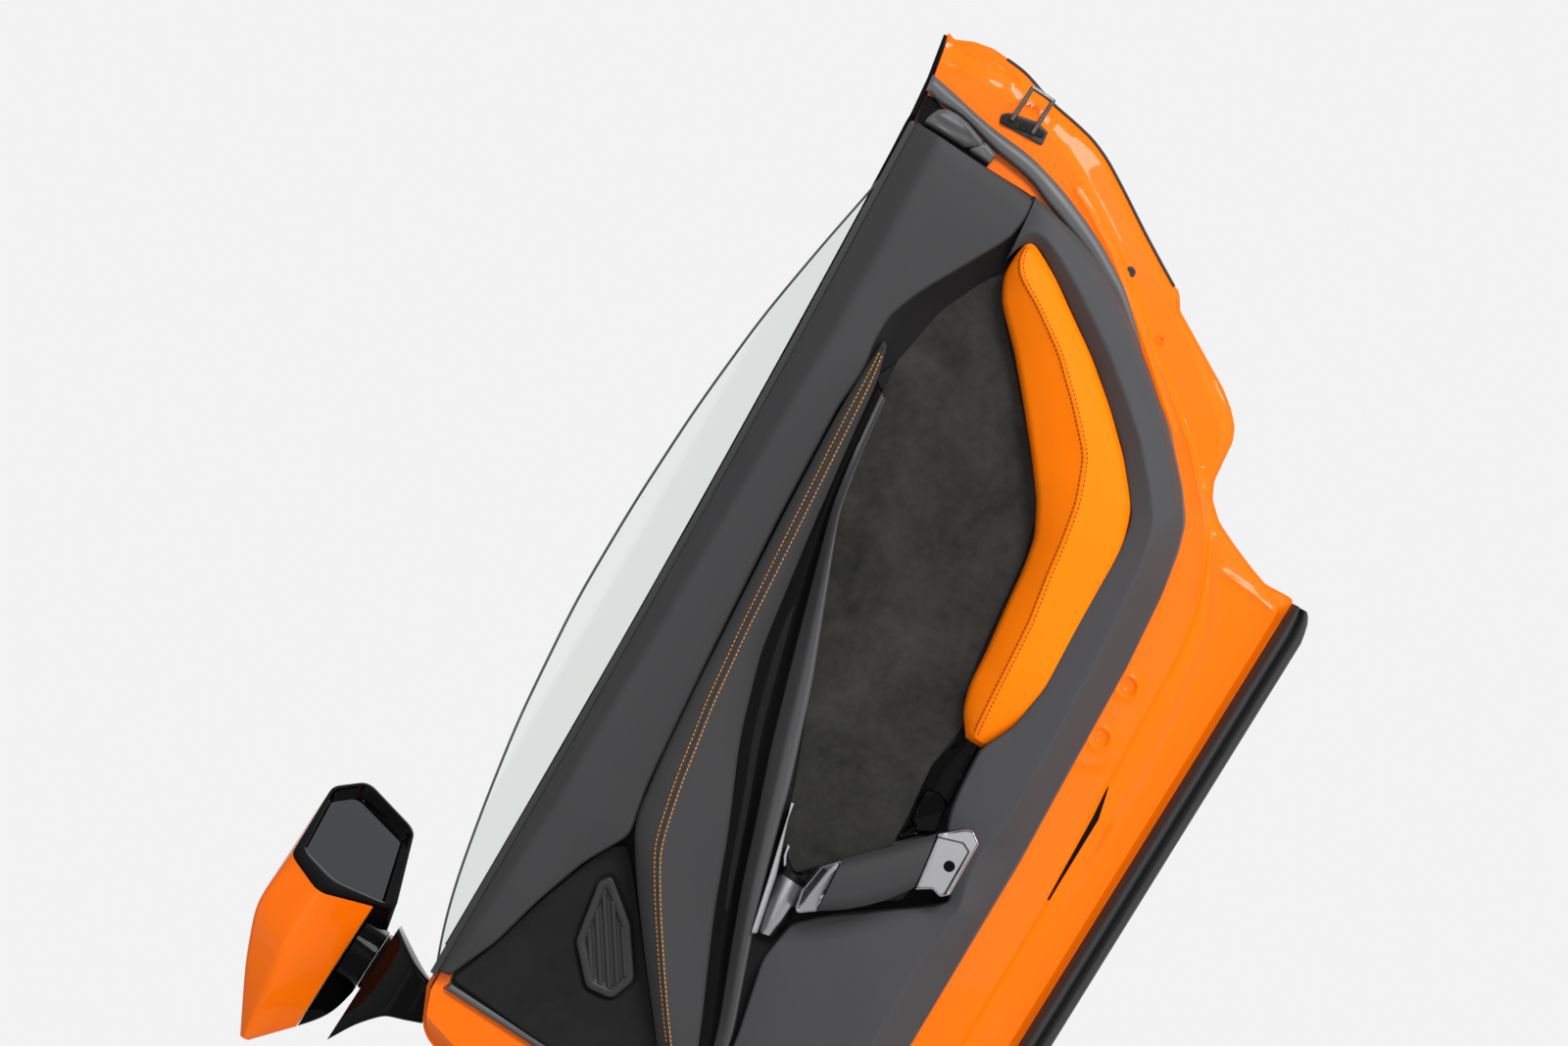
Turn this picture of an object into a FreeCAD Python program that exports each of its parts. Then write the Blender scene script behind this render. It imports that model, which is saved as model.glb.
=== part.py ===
# Raised scissor door of a two-seat sports car, the car's right-hand door.
# Millimetres. The door is drawn shut, about its hinge: x runs to the rear of the car, y outboard,
# z up, and "rise" is how far a surface stands inboard of the inner panel. It is then swung open.
import FreeCAD, Part
import math
import os
from FreeCAD import Placement, Rotation, Vector

# Driving dimensions: swing and hinge
OPEN_ANGLE = 58.0
AXIS_ROLL = 8.0
AXIS_YAW = 2.5
PIVOT = Vector(60.0, 75.0, 55.0)
PIN_RADIUS = 10.0
PIN_HEAD_RADIUS = 17.0
PIN_HEAD = 6.0
HUB_RADIUS = 28.0
HUB_INNER = 16.0
HUB_OUTER = 24.0
RUNNING_GAP = 0.5
PIN_CLEARANCE = 0.3
PRESS_CLEARANCE = 0.05

# Bracket on the body
BRACKET_THICKNESS = 12.0
BRACKET_BOSS_RADIUS = 25.0
BRACKET_ROOT_RADIUS = 30.0
BOLT_SPACING_X = 120.0
BOLT_SPACING_Z = 84.0
BOLT_HOLE_RADIUS = 5.5
PIN_SEAT_DEPTH = 30.0

# Gas strut, in the plane the door swings in
STRUT_FOOT = (-215.0, -66.0)
STRUT_LEVER = 56.0
STRUT_LEVER_ANGLE = -100.0
STRUT_RISE = 34.0
CYLINDER_RADIUS = 11.0
CYLINDER_START = 14.0
CYLINDER_END = 165.0
ROD_RADIUS = 4.5
ROD_INSIDE = 30.0
SOCKET_RADIUS = 9.5
SOCKET_LENGTH = 18.0
STUD_RADIUS = 5.0

# Hinge arm on the door
ARM_THICKNESS = 11.0
ARM_BOLT_RADIUS = 9.0
ARM_BOLT_HEAD = 7.0

# Door shell
PANEL_THICKNESS = 3.0
RIM_DEPTH = 20.0
SKIN_THICKNESS = 4.0
SKIN_OVERHANG = 3.0
SKIN_GAP = 0.3
SEAM = 1.2
GLASS_THICKNESS = 4.8
GLASS_RADIUS = 1100.0
GLASS_LEAN = 31.0
GLASS_OUT = 14.0
GLASS_SEAL_GAP = 0.3
BELT_START = (128.0, 184.0)
BELT_LENGTH = 1062.0
BELT_SLOPE = 3.3
BELT_SAG = 6.0
BELT_SEAL_DEPTH = 5.0
BELT_STATIONS = (146, 420, 700, 940, 1188)
CARD_BASE = 0.0
STRIKER_PLATE = 5.0
LEVER_PLATE_RISE = 5.0
HANDLE_SEAM = 0.4

# Mirror
FOLD_PIVOT = (108.0, 138.0)
FOLD_HEIGHT = 247.0
FOLD_GAP = 0.5
MIRROR_TOE = 31.0
MIRROR_BOSS_RADIUS = 24.0
MIRROR_SEAM = 0.6
BEZEL_DEPTH = 20.0
BEZEL_OPENING = 0.84
GLASS_RECESS = 8.0
MIRROR_GLASS_THICKNESS = 3.0
MIRROR_GLASS_GAP = 0.3
SPLIT_ABOVE_FOLD = 34.0

# Placing: the swing axis points inboard and a little up, and opening is positive about it
axis_roll = math.radians(AXIS_ROLL)
axis_yaw = math.radians(AXIS_YAW)
SWING_AXIS = Vector(
    -math.sin(axis_yaw) * math.cos(axis_roll),
    -math.cos(axis_yaw) * math.cos(axis_roll),
    math.sin(axis_roll),
)
TILT = Rotation(Vector(0, 0, 1), -AXIS_YAW) * Rotation(Vector(1, 0, 0), -AXIS_ROLL)
SWING = Rotation(SWING_AXIS, OPEN_ANGLE)
RAISED = Placement(PIVOT, SWING)
ON_BODY = Placement(PIVOT, TILT)
ON_DOOR = Placement(Vector(0, 0, 0), TILT)

PARTS = "parts"
nodes = {}


def belt_height(x):
    """Height of the belt line at x: a straight rise with a slight sag in the middle."""
    share = (x - BELT_START[0]) / BELT_LENGTH
    rise = BELT_LENGTH * share * math.tan(math.radians(BELT_SLOPE))
    return BELT_START[1] + rise - BELT_SAG * 4.0 * share * (1.0 - min(1.0, share))


def unit(dx, dz):
    length = math.hypot(dx, dz)
    return dx / length, dz / length


def inset(points, distance):
    """Closed outline moved inwards by distance, corner by corner."""
    count = len(points)
    area = sum(
        points[i][0] * points[(i + 1) % count][1] - points[(i + 1) % count][0] * points[i][1]
        for i in range(count)
    )
    side = 1.0 if area > 0 else -1.0
    moved = []
    for i in range(count):
        before, here, after = points[i - 1], points[i], points[(i + 1) % count]
        ax, az = unit(here[0] - before[0], here[1] - before[1])
        bx, bz = unit(after[0] - here[0], after[1] - here[1])
        nx, nz = -az - bz, ax + bx
        scale = side * distance / max(0.3, 1.0 + ax * bx + az * bz)
        moved.append((here[0] + nx * scale, here[1] + nz * scale) + tuple(here[2:]))
    return moved


def outline(points, y, radius=6.0):
    """Closed wire at depth y, its corners rounded by tangent arcs."""
    count = len(points)
    starts, middles, ends = [], [], []
    for i in range(count):
        before, here, after = points[i - 1], points[i], points[(i + 1) % count]
        corner = here[2] if len(here) > 2 else radius
        run_in = math.hypot(here[0] - before[0], here[1] - before[1])
        run_out = math.hypot(after[0] - here[0], after[1] - here[1])
        ax, az = unit(here[0] - before[0], here[1] - before[1])
        bx, bz = unit(after[0] - here[0], after[1] - here[1])
        turn = math.acos(max(-1.0, min(1.0, ax * bx + az * bz)))
        half = math.tan(turn / 2.0)
        tangent = min(corner * half, 0.45 * run_in, 0.45 * run_out)
        arc = tangent / half
        mx, mz = unit(bx - ax, bz - az)
        reach = arc / math.cos(turn / 2.0) - arc
        starts.append(Vector(here[0] - ax * tangent, y, here[1] - az * tangent))
        middles.append(Vector(here[0] + mx * reach, y, here[1] + mz * reach))
        ends.append(Vector(here[0] + bx * tangent, y, here[1] + bz * tangent))
    edges = []
    for i in range(count):
        edges.append(Part.Arc(starts[i], middles[i], ends[i]).toShape())
        edges.append(Part.LineSegment(ends[i], starts[(i + 1) % count]).toShape())
    return Part.Wire(edges)


def closed_polygon(corners):
    """Closed wire through a list of points."""
    return Part.makePolygon(corners + [corners[0]])


def prism(points, y_from, y_to, radius=6.0):
    """Straight block of an outline between two depths."""
    face = Part.Face(outline(points, y_from, radius))
    return face.extrude(Vector(0, y_to - y_from, 0))


def panel(points, base, rise, bevel, radius=6.0):
    """Block of an outline from the base rise to its face, with a sloped edge all round."""
    wires = [
        outline(points, -base, radius),
        outline(points, -(rise - bevel), radius),
        outline(inset(points, bevel), -rise, radius),
    ]
    return Part.makeLoft(wires, True, True)


def strip(stations, base):
    """Long trim piece: each station crosses it from one edge to the other.

    A station is the first edge's x, z, the second edge's x, z, and a list of (share of the way
    across, rise).
    """
    wires = []
    for x1, z1, x2, z2, profile in stations:
        corners = [Vector(x1, -base, z1)]
        for share, rise in profile:
            corners.append(Vector(x1 + (x2 - x1) * share, -rise, z1 + (z2 - z1) * share))
        corners.append(Vector(x2, -base, z2))
        wires.append(closed_polygon(corners))
    return Part.makeLoft(wires, True, True)


def round_bar(x, z, y_from, y_to, radius, end_radius=None):
    """Round boss along y, cone-shaped where the end radius differs."""
    base = Vector(x, min(y_from, y_to), z)
    length = abs(y_to - y_from)
    if end_radius is None or end_radius == radius:
        return Part.makeCylinder(radius, length, base, Vector(0, 1, 0))
    first, last = (radius, end_radius) if y_to > y_from else (end_radius, radius)
    return Part.makeCone(first, last, length, base, Vector(0, 1, 0))


def moved(shape, x=0.0, y=0.0, z=0.0):
    """Copy of a shape shifted by x, y, z."""
    copy = shape.copy()
    copy.translate(Vector(x, y, z))
    return copy


def placed(shape, placement):
    """Copy of a shape at a placement."""
    copy = shape.copy()
    copy.Placement = placement.multiply(copy.Placement)
    return copy


def fused(first, *others):
    """One solid of several that overlap."""
    return first.fuse(list(others)).removeSplitter()


def add(name, shape, placement=RAISED):
    """Keep a finished piece under its node's name."""
    nodes[name] = placed(shape, placement)


# Outlines of the shell, shut: rear edge from the belt's tip down, then the sill, front and belt
SHELL = [
    # x, z, corner radius
    (1296, 266, 4), (1290, 250, 5), (1302, 214, 30), (1297, 155, 60), (1280, 70, 90),
    (1256, 24, 90), (1184, -99, 120), (1150, -155, 90), (1107, -223, 16), (1050, -232, 20),
    (1018, -244, 26), (993, -292, 50), (975, -350, 30), (980, -384, 6), (140, -392, 60),
    (66, -330, 50), (52, -120, 80), (54, 60, 80), (84, 160, 40), (124, 181, 8),
    (520, belt_height(520) - 2, 900), (860, belt_height(860) - 2, 900),
    (1190, belt_height(1190) - 2, 200),
]
FLAT = [
    (1262, 250, 4), (1262, 240, 5), (1264, 212, 30), (1257, 158, 60), (1237, 74, 90),
    (1214, 20, 90), (1145, -72, 120), (1112, -118, 90), (1062, -182, 16), (1032, -206, 20),
    (1006, -238, 26), (974, -266, 50), (930, -288, 30), (880, -306, 6), (170, -318, 60),
    (82, -300, 50), (62, -120, 80), (64, 56, 80), (92, 150, 40), (130, 175, 8),
    (520, belt_height(520) - 7, 900), (860, belt_height(860) - 7, 900),
    (1190, belt_height(1190) - 7, 200),
]

# Outer skin sections: x, then (z, outboard distance) at belt, shoulder, crease, hollow, sill, foot
SKIN_SECTIONS = [
    (30, (178, 46), (120, 80), (10, 92), (-120, 88), (-300, 92), (-405, 56)),
    (420, (199, 50), (130, 100), (0, 118), (-130, 96), (-300, 112), (-405, 66)),
    (820, (222, 52), (140, 112), (-10, 130), (-150, 80), (-300, 118), (-405, 72)),
    (1120, (240, 54), (150, 118), (-10, 132), (-150, 66), (-300, 112), (-405, 68)),
    (1315, (276, 56), (170, 112), (0, 124), (-150, 62), (-300, 105), (-405, 64)),
]


def skin_block(shift=0.0):
    """Solid bulk of the door's outer side, its face moved outboard by shift."""
    wires = []
    for x, *rows in SKIN_SECTIONS:
        top, bottom = rows[0], rows[-1]
        corners = [Vector(x, RIM_DEPTH - 20.0, top[0] + 40.0)]
        corners += [Vector(x, top[1] + shift - 22.0, top[0] + 40.0)]
        corners += [Vector(x, out + shift, z) for z, out in rows]
        corners += [Vector(x, RIM_DEPTH - 20.0, bottom[0])]
        wires.append(closed_polygon(corners))
    return Part.makeLoft(wires, True, True)


def glass_out(x, z):
    """Outboard distance of the glass's outer face at x, z."""
    lean = math.radians(GLASS_LEAN)
    slope = math.radians(BELT_SLOPE)
    up = (z - BELT_START[1]) * math.cos(slope) - (x - BELT_START[0]) * math.sin(slope)
    centre_z = -GLASS_RADIUS * math.sin(lean)
    reach = math.sqrt(GLASS_RADIUS ** 2 - (up - centre_z) ** 2)
    return GLASS_OUT - GLASS_RADIUS * math.cos(lean) + reach


def outside_glass(x, z):
    """Place of a trim face just outboard of the glass."""
    return glass_out(x, z) + GLASS_SEAL_GAP


def inside_glass(x, z):
    """Place of a trim face just inboard of the glass."""
    return glass_out(x, z) - GLASS_THICKNESS / math.cos(math.radians(GLASS_LEAN)) - GLASS_SEAL_GAP


def belt_strip(table, y_in, y_out):
    """Strip along the belt between two faces; a row gives x, lowest and highest place about it."""
    wires = []
    for x, low, high in table:
        z1, z2 = belt_height(x) + low, belt_height(x) + high
        corners = [
            Vector(x, y_in(x, z1), z1), Vector(x, y_in(x, z2), z2),
            Vector(x, y_out(x, z2), z2), Vector(x, y_out(x, z1), z1),
        ]
        wires.append(closed_polygon(corners))
    return Part.makeLoft(wires, True, True)


def inner_frame():
    """Pressed inner panel: a flat middle and a rim that slopes outboard to the skin."""
    bulk = Part.makeLoft([outline(SHELL, RIM_DEPTH), outline(FLAT, 0.0)], True, True)
    pressed = bulk.cut(moved(bulk, y=PANEL_THICKNESS))
    along = (100,) + BELT_STATIONS + (1192,)
    top_edge = belt_strip(
        [(x, -BELT_SEAL_DEPTH, 60) for x in along], lambda x, z: -1.0, lambda x, z: RIM_DEPTH + 1.0
    )
    glass_slot = belt_strip(
        [(x, -16.0, 60) for x in along], lambda x, z: PANEL_THICKNESS, lambda x, z: RIM_DEPTH + 1.0
    )
    pressed = pressed.cut(top_edge).cut(glass_slot)
    for x, z, radius in [(804, -276, 12), (742, -281, 12)]:
        pressed = pressed.cut(round_bar(x, z, -1.0, 1.4, radius, radius - 3))
    return pressed


def outer_skin():
    """Outer skin: a thin tray whose walls stand on the inner panel's rim."""
    edge = inset(SHELL, -SKIN_OVERHANG)
    start = RIM_DEPTH + SKIN_GAP
    tray = skin_block().common(prism(edge, start, start + 200.0))
    hollow = skin_block(-SKIN_THICKNESS).common(
        prism(inset(edge, SKIN_THICKNESS), start - 1.0, start + 200.0)
    )
    return tray.cut(hollow)


def outer_handle():
    """Flush pull handle in the hollow under the crease."""
    shape = [(960, -40, 6), (1130, -34, 14), (1150, -52, 8), (1140, -66, 8), (965, -66, 14)]
    block = prism(shape, RIM_DEPTH, RIM_DEPTH + 200.0)
    return skin_block(3.0).common(block).cut(skin_block(SKIN_GAP))


def side_glass():
    """Curved side glass, its belt edge in the slot between panel and skin."""
    lean = math.radians(GLASS_LEAN)
    slope = math.radians(BELT_SLOPE)
    centre_y = GLASS_OUT - GLASS_RADIUS * math.cos(lean)
    centre_z = -GLASS_RADIUS * math.sin(lean)
    length = 1200.0
    start = Vector(-60.0, centre_y, centre_z)
    along = Vector(1, 0, 0)
    outer = Part.makeCylinder(GLASS_RADIUS, length, start, along)
    inner = Part.makeCylinder(GLASS_RADIUS - GLASS_THICKNESS, length, start, along)
    low, high = -60.0, 61.5
    corners = [(14, -4), (200, 38), (440, high), (740, 46), (1014, -2), (960, low), (80, low)]
    p = [Vector(x, -300.0, z) for x, z in corners]
    edges = [
        Part.Arc(p[0], p[1], p[2]).toShape(),
        Part.Arc(p[2], p[3], p[4]).toShape(),
        Part.LineSegment(p[4], p[5]).toShape(),
        Part.LineSegment(p[5], p[6]).toShape(),
        Part.LineSegment(p[6], p[0]).toShape(),
    ]
    cutter = Part.Face(Part.Wire(edges)).extrude(Vector(0, 500, 0))
    pane = outer.cut(inner).common(cutter)
    pane.Placement = Placement(
        Vector(BELT_START[0], 0, BELT_START[1]), Rotation(Vector(0, 1, 0), -math.degrees(slope))
    )
    return pane


# Trim on the inner panel. Profiles are (share of the way across, rise).
def belt_trim():
    """Leather upper along the belt, with a crease, and a return face over the pocket."""
    table = [
        # top x, foot x, z, crease share, lower edge share, top, crease, edge and foot rise
        (150, 153, 168, 0.30, 0.90, 12, 18, 16, 12),
        (205, 210, 146, 0.25, 0.94, 16, 32, 28, 20),
        (268, 274, 131, 0.22, 0.95, 18, 40, 34, 24),
        (330, 334, 112, 0.18, 0.96, 18, 44, 36, 26),
        (381, 384, 86, 0.16, 0.97, 18, 46, 38, 28),
        (438, 440, 99, 0.16, 0.97, 18, 46, 38, 28),
        (600, 592, 119, 0.24, 0.97, 18, 46, 40, 28),
        (760, 747, 136, 0.33, 0.97, 18, 46, 40, 28),
        (900, 884, 147, 0.38, 0.97, 18, 46, 40, 28),
        (985, 979, 144, 0.42, 0.92, 18, 46, 40, 12),
        (1036, 1030, 128, 0.40, 0.82, 18, 46, 40, 9),
        (1094, 1078, 104, 0.32, 0.84, 18, 45, 40, 9),
        (1140, 1104, 84, 0.24, 0.85, 18, 44, 40, 9),
        (1186, 1166, 90, 0.22, 0.94, 16, 40, 36, 9),
        (1191, 1188, 96, 0.22, 0.94, 12, 34, 30, 9),
    ]
    return strip(
        [
            (
                x1, belt_height(x1) - BELT_SEAL_DEPTH - SEAM, x2, z2,
                [(0.0, top), (crease, high), (edge, low), (1.0, foot)],
            )
            for x1, x2, z2, crease, edge, top, high, low, foot in table
        ],
        CARD_BASE,
    )


def belt_seal():
    """Black rubber lip between the belt trim and the glass."""
    table = [(x, -BELT_SEAL_DEPTH, 2.0) for x in BELT_STATIONS]
    return belt_strip(table, lambda x, z: -11.5, inside_glass)


def belt_moulding():
    """Gloss strip on the skin's belt edge, widening to the rear tip."""
    table = [
        # x, lowest and highest place about the belt
        (177, 2.4, 6), (420, 2.4, 7), (700, 2.4, 8), (940, 2.4, 9), (1150, 2.4, 14),
    ]
    front = belt_strip(table, outside_glass, lambda x, z: 36.0)
    tip = belt_strip(
        [(1150, 2.4, 14), (1190, 4.0, 17), (1240, 11.8, 20), (1288, 18, 22)],
        lambda x, z: outside_glass(x, z) if x < 1160 else 8.0,
        lambda x, z: 36.0,
    )
    return fused(front, tip)


def bolster():
    """Stitched bolster under the belt trim, ridged along its seam."""
    table = [
        # upper x, z, lower x, z, seam share, upper, seam and lower rise
        (977, 142, 975, 139, 0.5, 30, 33, 28),
        (940, 143, 936, 128, 0.5, 40, 52, 34),
        (882, 143, 872, 120, 0.5, 46, 62, 34),
        (760, 133, 750, 100, 0.45, 46, 66, 32),
        (640, 121, 624, 77, 0.38, 46, 68, 30),
        (560, 113, 538, 47, 0.30, 46, 68, 30),
        (470, 102, 440, 0, 0.27, 44, 68, 30),
        (398, 90, 372, -28, 0.29, 40, 66, 30),
        (349, 55, 322, -53, 0.29, 36, 62, 28),
        (292, 9, 268, -80, 0.30, 32, 56, 26),
        (243, -33, 222, -102, 0.33, 28, 48, 24),
        (206, -64, 192, -118, 0.40, 20, 34, 20),
    ]
    return strip(
        [
            (x1, z1 - SEAM, x2, z2, [(0.0, top), (seam, high), (1.0, low)])
            for x1, z1, x2, z2, seam, top, high, low in table
        ],
        CARD_BASE,
    )


def channel_trim():
    """Dark channel and its raised rim between the bolster and the pocket."""
    table = [
        # upper x, z, lower x, z, upper, trough and rim rise
        (934, 125, 928, 115, 20, 12, 12),
        (872, 117, 866, 108, 20, 12, 14),
        (806, 106, 798, 92, 20, 10, 18),
        (742, 96, 726, 58, 20, 8, 26),
        (646, 78, 626, 14, 20, 6, 32),
        (560, 52, 528, -29, 20, 6, 34),
        (486, 17, 462, -54, 20, 6, 34),
        (418, -12, 402, -76, 20, 6, 32),
        (348, -44, 336, -98, 18, 6, 28),
        (270, -82, 262, -122, 14, 6, 20),
        (200, -119, 196, -132, 10, 8, 12),
    ]
    return strip(
        [
            (x1, z1, x2, z2, [(0.0, top), (0.35, low), (0.72, rim), (0.92, rim - 2), (1.0, 6)])
            for x1, z1, x2, z2, top, low, rim in table
        ],
        CARD_BASE,
    )


def elbow_pad():
    """Padded orange elbow rest, boomerang-shaped, ridged along its seam."""
    table = [
        # upper x, z, lower x, z, seam share, upper, seam and lower rise
        (1137, 70, 1143, 64, 0.5, 30, 36, 30),
        (1104, 69, 1136, 47, 0.5, 26, 52, 36),
        (1064, 46, 1110, 10, 0.65, 20, 58, 40),
        (1012, -4, 1071, -51, 0.72, 18, 62, 42),
        (967, -47, 1028, -108, 0.66, 18, 64, 44),
        (916, -90, 975, -164, 0.45, 18, 66, 46),
        (860, -108, 906, -193, 0.30, 20, 66, 46),
        (800, -117, 828, -202, 0.30, 20, 64, 44),
        (736, -126, 752, -205, 0.33, 20, 60, 40),
        (700, -136, 702, -198, 0.35, 20, 52, 34),
        (671, -158, 674, -182, 0.35, 20, 36, 26),
    ]
    return strip(
        [
            (x1, z1, x2, z2, [(0.0, top), (seam, high), (1.0, low)])
            for x1, z1, x2, z2, seam, top, high, low in table
        ],
        CARD_BASE,
    )


def card_surround():
    """Leather frame of the card: a band behind the pad that widens into the lower panel."""
    table = [
        # inner x, z, outer x, z, crease share, inner, crease and outer rise
        (1164, 84, 1189, 84, 0.35, 34, 40, 10),
        (1142, 36, 1176, 18, 0.35, 38, 46, 10),
        (1098, -30, 1138, -52, 0.40, 38, 50, 10),
        (1059, -84, 1106, -106, 0.42, 38, 52, 10),
        (1020, -132, 1060, -162, 0.42, 38, 54, 10),
        (984, -170, 1016, -204, 0.42, 38, 54, 10),
        (958, -194, 986, -228, 0.42, 38, 54, 10),
        (938, -198, 955, -238, 0.42, 38, 54, 10),
        (906, -202, 908, -248, 0.42, 38, 54, 10),
        (828, -210, 824, -259, 0.48, 36, 52, 10),
        (752, -213, 744, -265, 0.52, 34, 50, 10),
        (700, -208, 690, -268, 0.62, 32, 50, 10),
        (664, -184, 652, -271, 0.72, 30, 50, 10),
        (612, -190, 606, -273, 0.72, 30, 50, 10),
        (586, -236, 584, -275, 0.50, 30, 48, 10),
        (508, -238, 504, -278, 0.50, 30, 48, 10),
        (480, -206, 462, -280, 0.62, 30, 48, 10),
        (424, -134, 404, -282, 0.76, 30, 48, 10),
        (398, -112, 360, -283, 0.80, 28, 48, 10),
        (350, -106, 320, -284, 0.80, 26, 46, 10),
        (266, -128, 246, -285, 0.80, 22, 44, 10),
        (196, -138, 186, -286, 0.80, 18, 40, 10),
        (152, -142, 150, -286, 0.80, 14, 34, 10),
    ]
    return strip(
        [
            (x1, z1, x2, z2, [(0.0, top), (crease, high), (1.0, low)])
            for x1, z1, x2, z2, crease, top, high, low in table
        ],
        CARD_BASE,
    )


def perimeter_seal():
    """Rubber seal from the belt round the card's rear and lower edge, and up its front."""
    table = [
        # inner x, z, outer x, z
        (1227, 250, 1240, 252), (1221, 224, 1236, 216), (1228, 202, 1238, 200),
        (1217, 153, 1232, 150), (1206, 115, 1225, 110), (1194, 78, 1214, 68),
        (1181, 20, 1198, 14), (1143, -54, 1152, -60), (1110, -108, 1116, -114),
        (1064, -165, 1069, -171), (1019, -208, 1024, -214), (988, -233, 992, -240),
        (955, -243, 956, -250), (908, -252, 908, -259), (744, -269, 744, -276),
        (584, -279, 584, -286), (360, -287, 360, -294), (150, -290, 146, -298),
        (147, -282, 137, -284), (149, -140, 140, -140), (145, 60, 136, 60), (145, 165, 136, 168),
    ]
    return strip(
        [(x1, z1, x2, z2, [(0.0, 8), (0.5, 15), (1.0, 6)]) for x1, z1, x2, z2 in table],
        CARD_BASE,
    )


def sill_height(x):
    """Height of the skin's lower edge at x."""
    (x1, z1, _), (x2, z2, _) = SHELL[13], SHELL[14]
    return z1 + (z2 - z1) * (x - x1) / (x2 - x1) - SKIN_OVERHANG


def sill_seal():
    """Double rubber lip along the sill, under the skin's edge."""
    profile = [
        # y, drop below the skin's edge
        (8, 0.3), (3, 12), (-4, 26), (5, 30), (13, 16), (15, 26), (24, 30), (31, 14), (34, 0.3),
    ]
    wires = []
    for x, share in [(150, 1.0), (944, 1.0), (974, 0.55)]:
        corners = [Vector(x, y, sill_height(x) - drop * share) for y, drop in profile]
        wires.append(closed_polygon(corners))
    return Part.makeLoft(wires, True, True)


POCKET = [
    (1100, 74), (1074, 98), (1036, 120), (1000, 122), (945, 114), (868, 105), (800, 88),
    (728, 54), (628, 10), (530, -33), (464, -58), (448, -84), (482, -112), (528, -152),
    (570, -149), (622, -142), (674, -148), (698, -134), (736, -122), (800, -113), (860, -104),
    (914, -86), (964, -44), (1010, -1), (1062, 49), (1098, 68),
]
SPEAKER_PANEL = [
    (372, 80), (358, 96), (330, 108), (270, 127), (208, 142), (152, 162), (148, 60), (150, -134),
    (186, -120), (203, -62), (241, -30), (290, 12), (344, 58),
]
SPEAKER_GRILLE = [
    (337, 75), (323, 86), (262, 74), (222, 38), (226, 8), (256, -2), (304, 34),
]
REAR_SEAM = [(562, -184), (502, -202)]
FRONT_SEAM = [(476, -110), (432, -127)]
HANDLE_GRIP = [FRONT_SEAM[0], REAR_SEAM[0], REAR_SEAM[1], FRONT_SEAM[1]]
BEZEL_REAR = [REAR_SEAM[0], (584, -211), (579, -229), (518, -231), REAR_SEAM[1]]
BEZEL_FRONT = [FRONT_SEAM[0], (434, -100), (404, -106), FRONT_SEAM[1]]
HANDLE_CUP = [(478, -116), (554, -180), (502, -199), (482, -197), (434, -132)]
SWITCH_CUP = [
    (672, -151), (622, -145), (570, -152), (532, -156), (564, -184), (612, -187), (662, -166),
]
SWITCH = [(600, -153), (614, -168), (570, -182), (556, -164)]
LEVER = [
    (507, -43, 1), (462, -64, 3), (440, -80, 6), (434, -98, 5), (406, -96, 5), (390, -84, 3),
    (428, -68, 6), (462, -55, 3),
]
LEVER_PLATE = [
    (459, -61), (445, -85), (472, -107), (430, -97), (398, -103), (374, -92), (404, -79),
]
END_CAP = [
    (1195, 235), (1209, 233), (1218, 220), (1225, 202), (1213, 168), (1199, 172), (1194, 195),
]
STRIKER_OUTLINE = [(1240, 168, 2), (1247, 166, 2), (1254, 119, 2), (1245, 117, 2)]


def speaker_panel():
    """Recessed panel round the speaker, its middle sunk below the grille."""
    body = panel(SPEAKER_PANEL, CARD_BASE, 12.0, 2.0)
    return body.cut(panel(inset(SPEAKER_GRILLE, -3.0), 5.0, 13.0, 0.5))


def speaker_grille():
    """Speaker cover with rows of slots."""
    cover = panel(SPEAKER_GRILLE, 5.0 + SKIN_GAP, 17.0, 2.0)
    for row in range(5):
        z = 4.0 + 16.0 * row
        half = 16.0
        x = 252.0 + 14.0 * row
        slot = [(x - half, z), (x + half, z + 4), (x + half, z + 9), (x - half, z + 5)]
        cover = cover.cut(prism(slot, -18.0, -12.0, 2.0))
    return cover


def pull_handle():
    """Strap of the pull handle, standing clear of the cup for the fingers."""
    return panel(inset(HANDLE_GRIP, HANDLE_SEAM), 54.0, 84.0, 8.0)


def release_lever():
    """Inner release lever, its foot on the plate below it."""
    blade = panel(LEVER, 8.0, 20.0, 2.0)
    return fused(blade, round_bar(419, -86, -9.0, -LEVER_PLATE_RISE - SKIN_GAP, 6.0))


def handle_bezel(points, rise):
    """End of the pull handle, from the card up to the strap."""
    return panel(points, CARD_BASE, rise, 4.0)


def striker_base():
    """Plate under the striker loop, with one screw head."""
    plate = panel(STRIKER_OUTLINE, CARD_BASE, STRIKER_PLATE, 1.0)
    screw = round_bar(1247, 143, -STRIKER_PLATE - 3.0, -STRIKER_PLATE, 4.5)
    return fused(plate, screw)


def striker_loop():
    """Bent wire loop that the latch takes hold of."""
    bar = 2.6
    near, far = 1249.0, 1289.0
    low, high = 130.0, 156.0
    y = -11.0
    legs = [
        Part.makeCylinder(bar, far - near, Vector(near, y, z), Vector(1, 0, 0)) for z in (low, high)
    ]
    bend = Part.makeCylinder(bar, high - low, Vector(far, y, low), Vector(0, 0, 1))
    corners = [Part.makeSphere(bar, Vector(x, y, z)) for x in (near, far) for z in (low, high)]
    feet = [round_bar(near, z, y, -STRIKER_PLATE - SKIN_GAP, bar) for z in (low, high)]
    return fused(legs[0], legs[1], bend, *corners, *feet)


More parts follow.
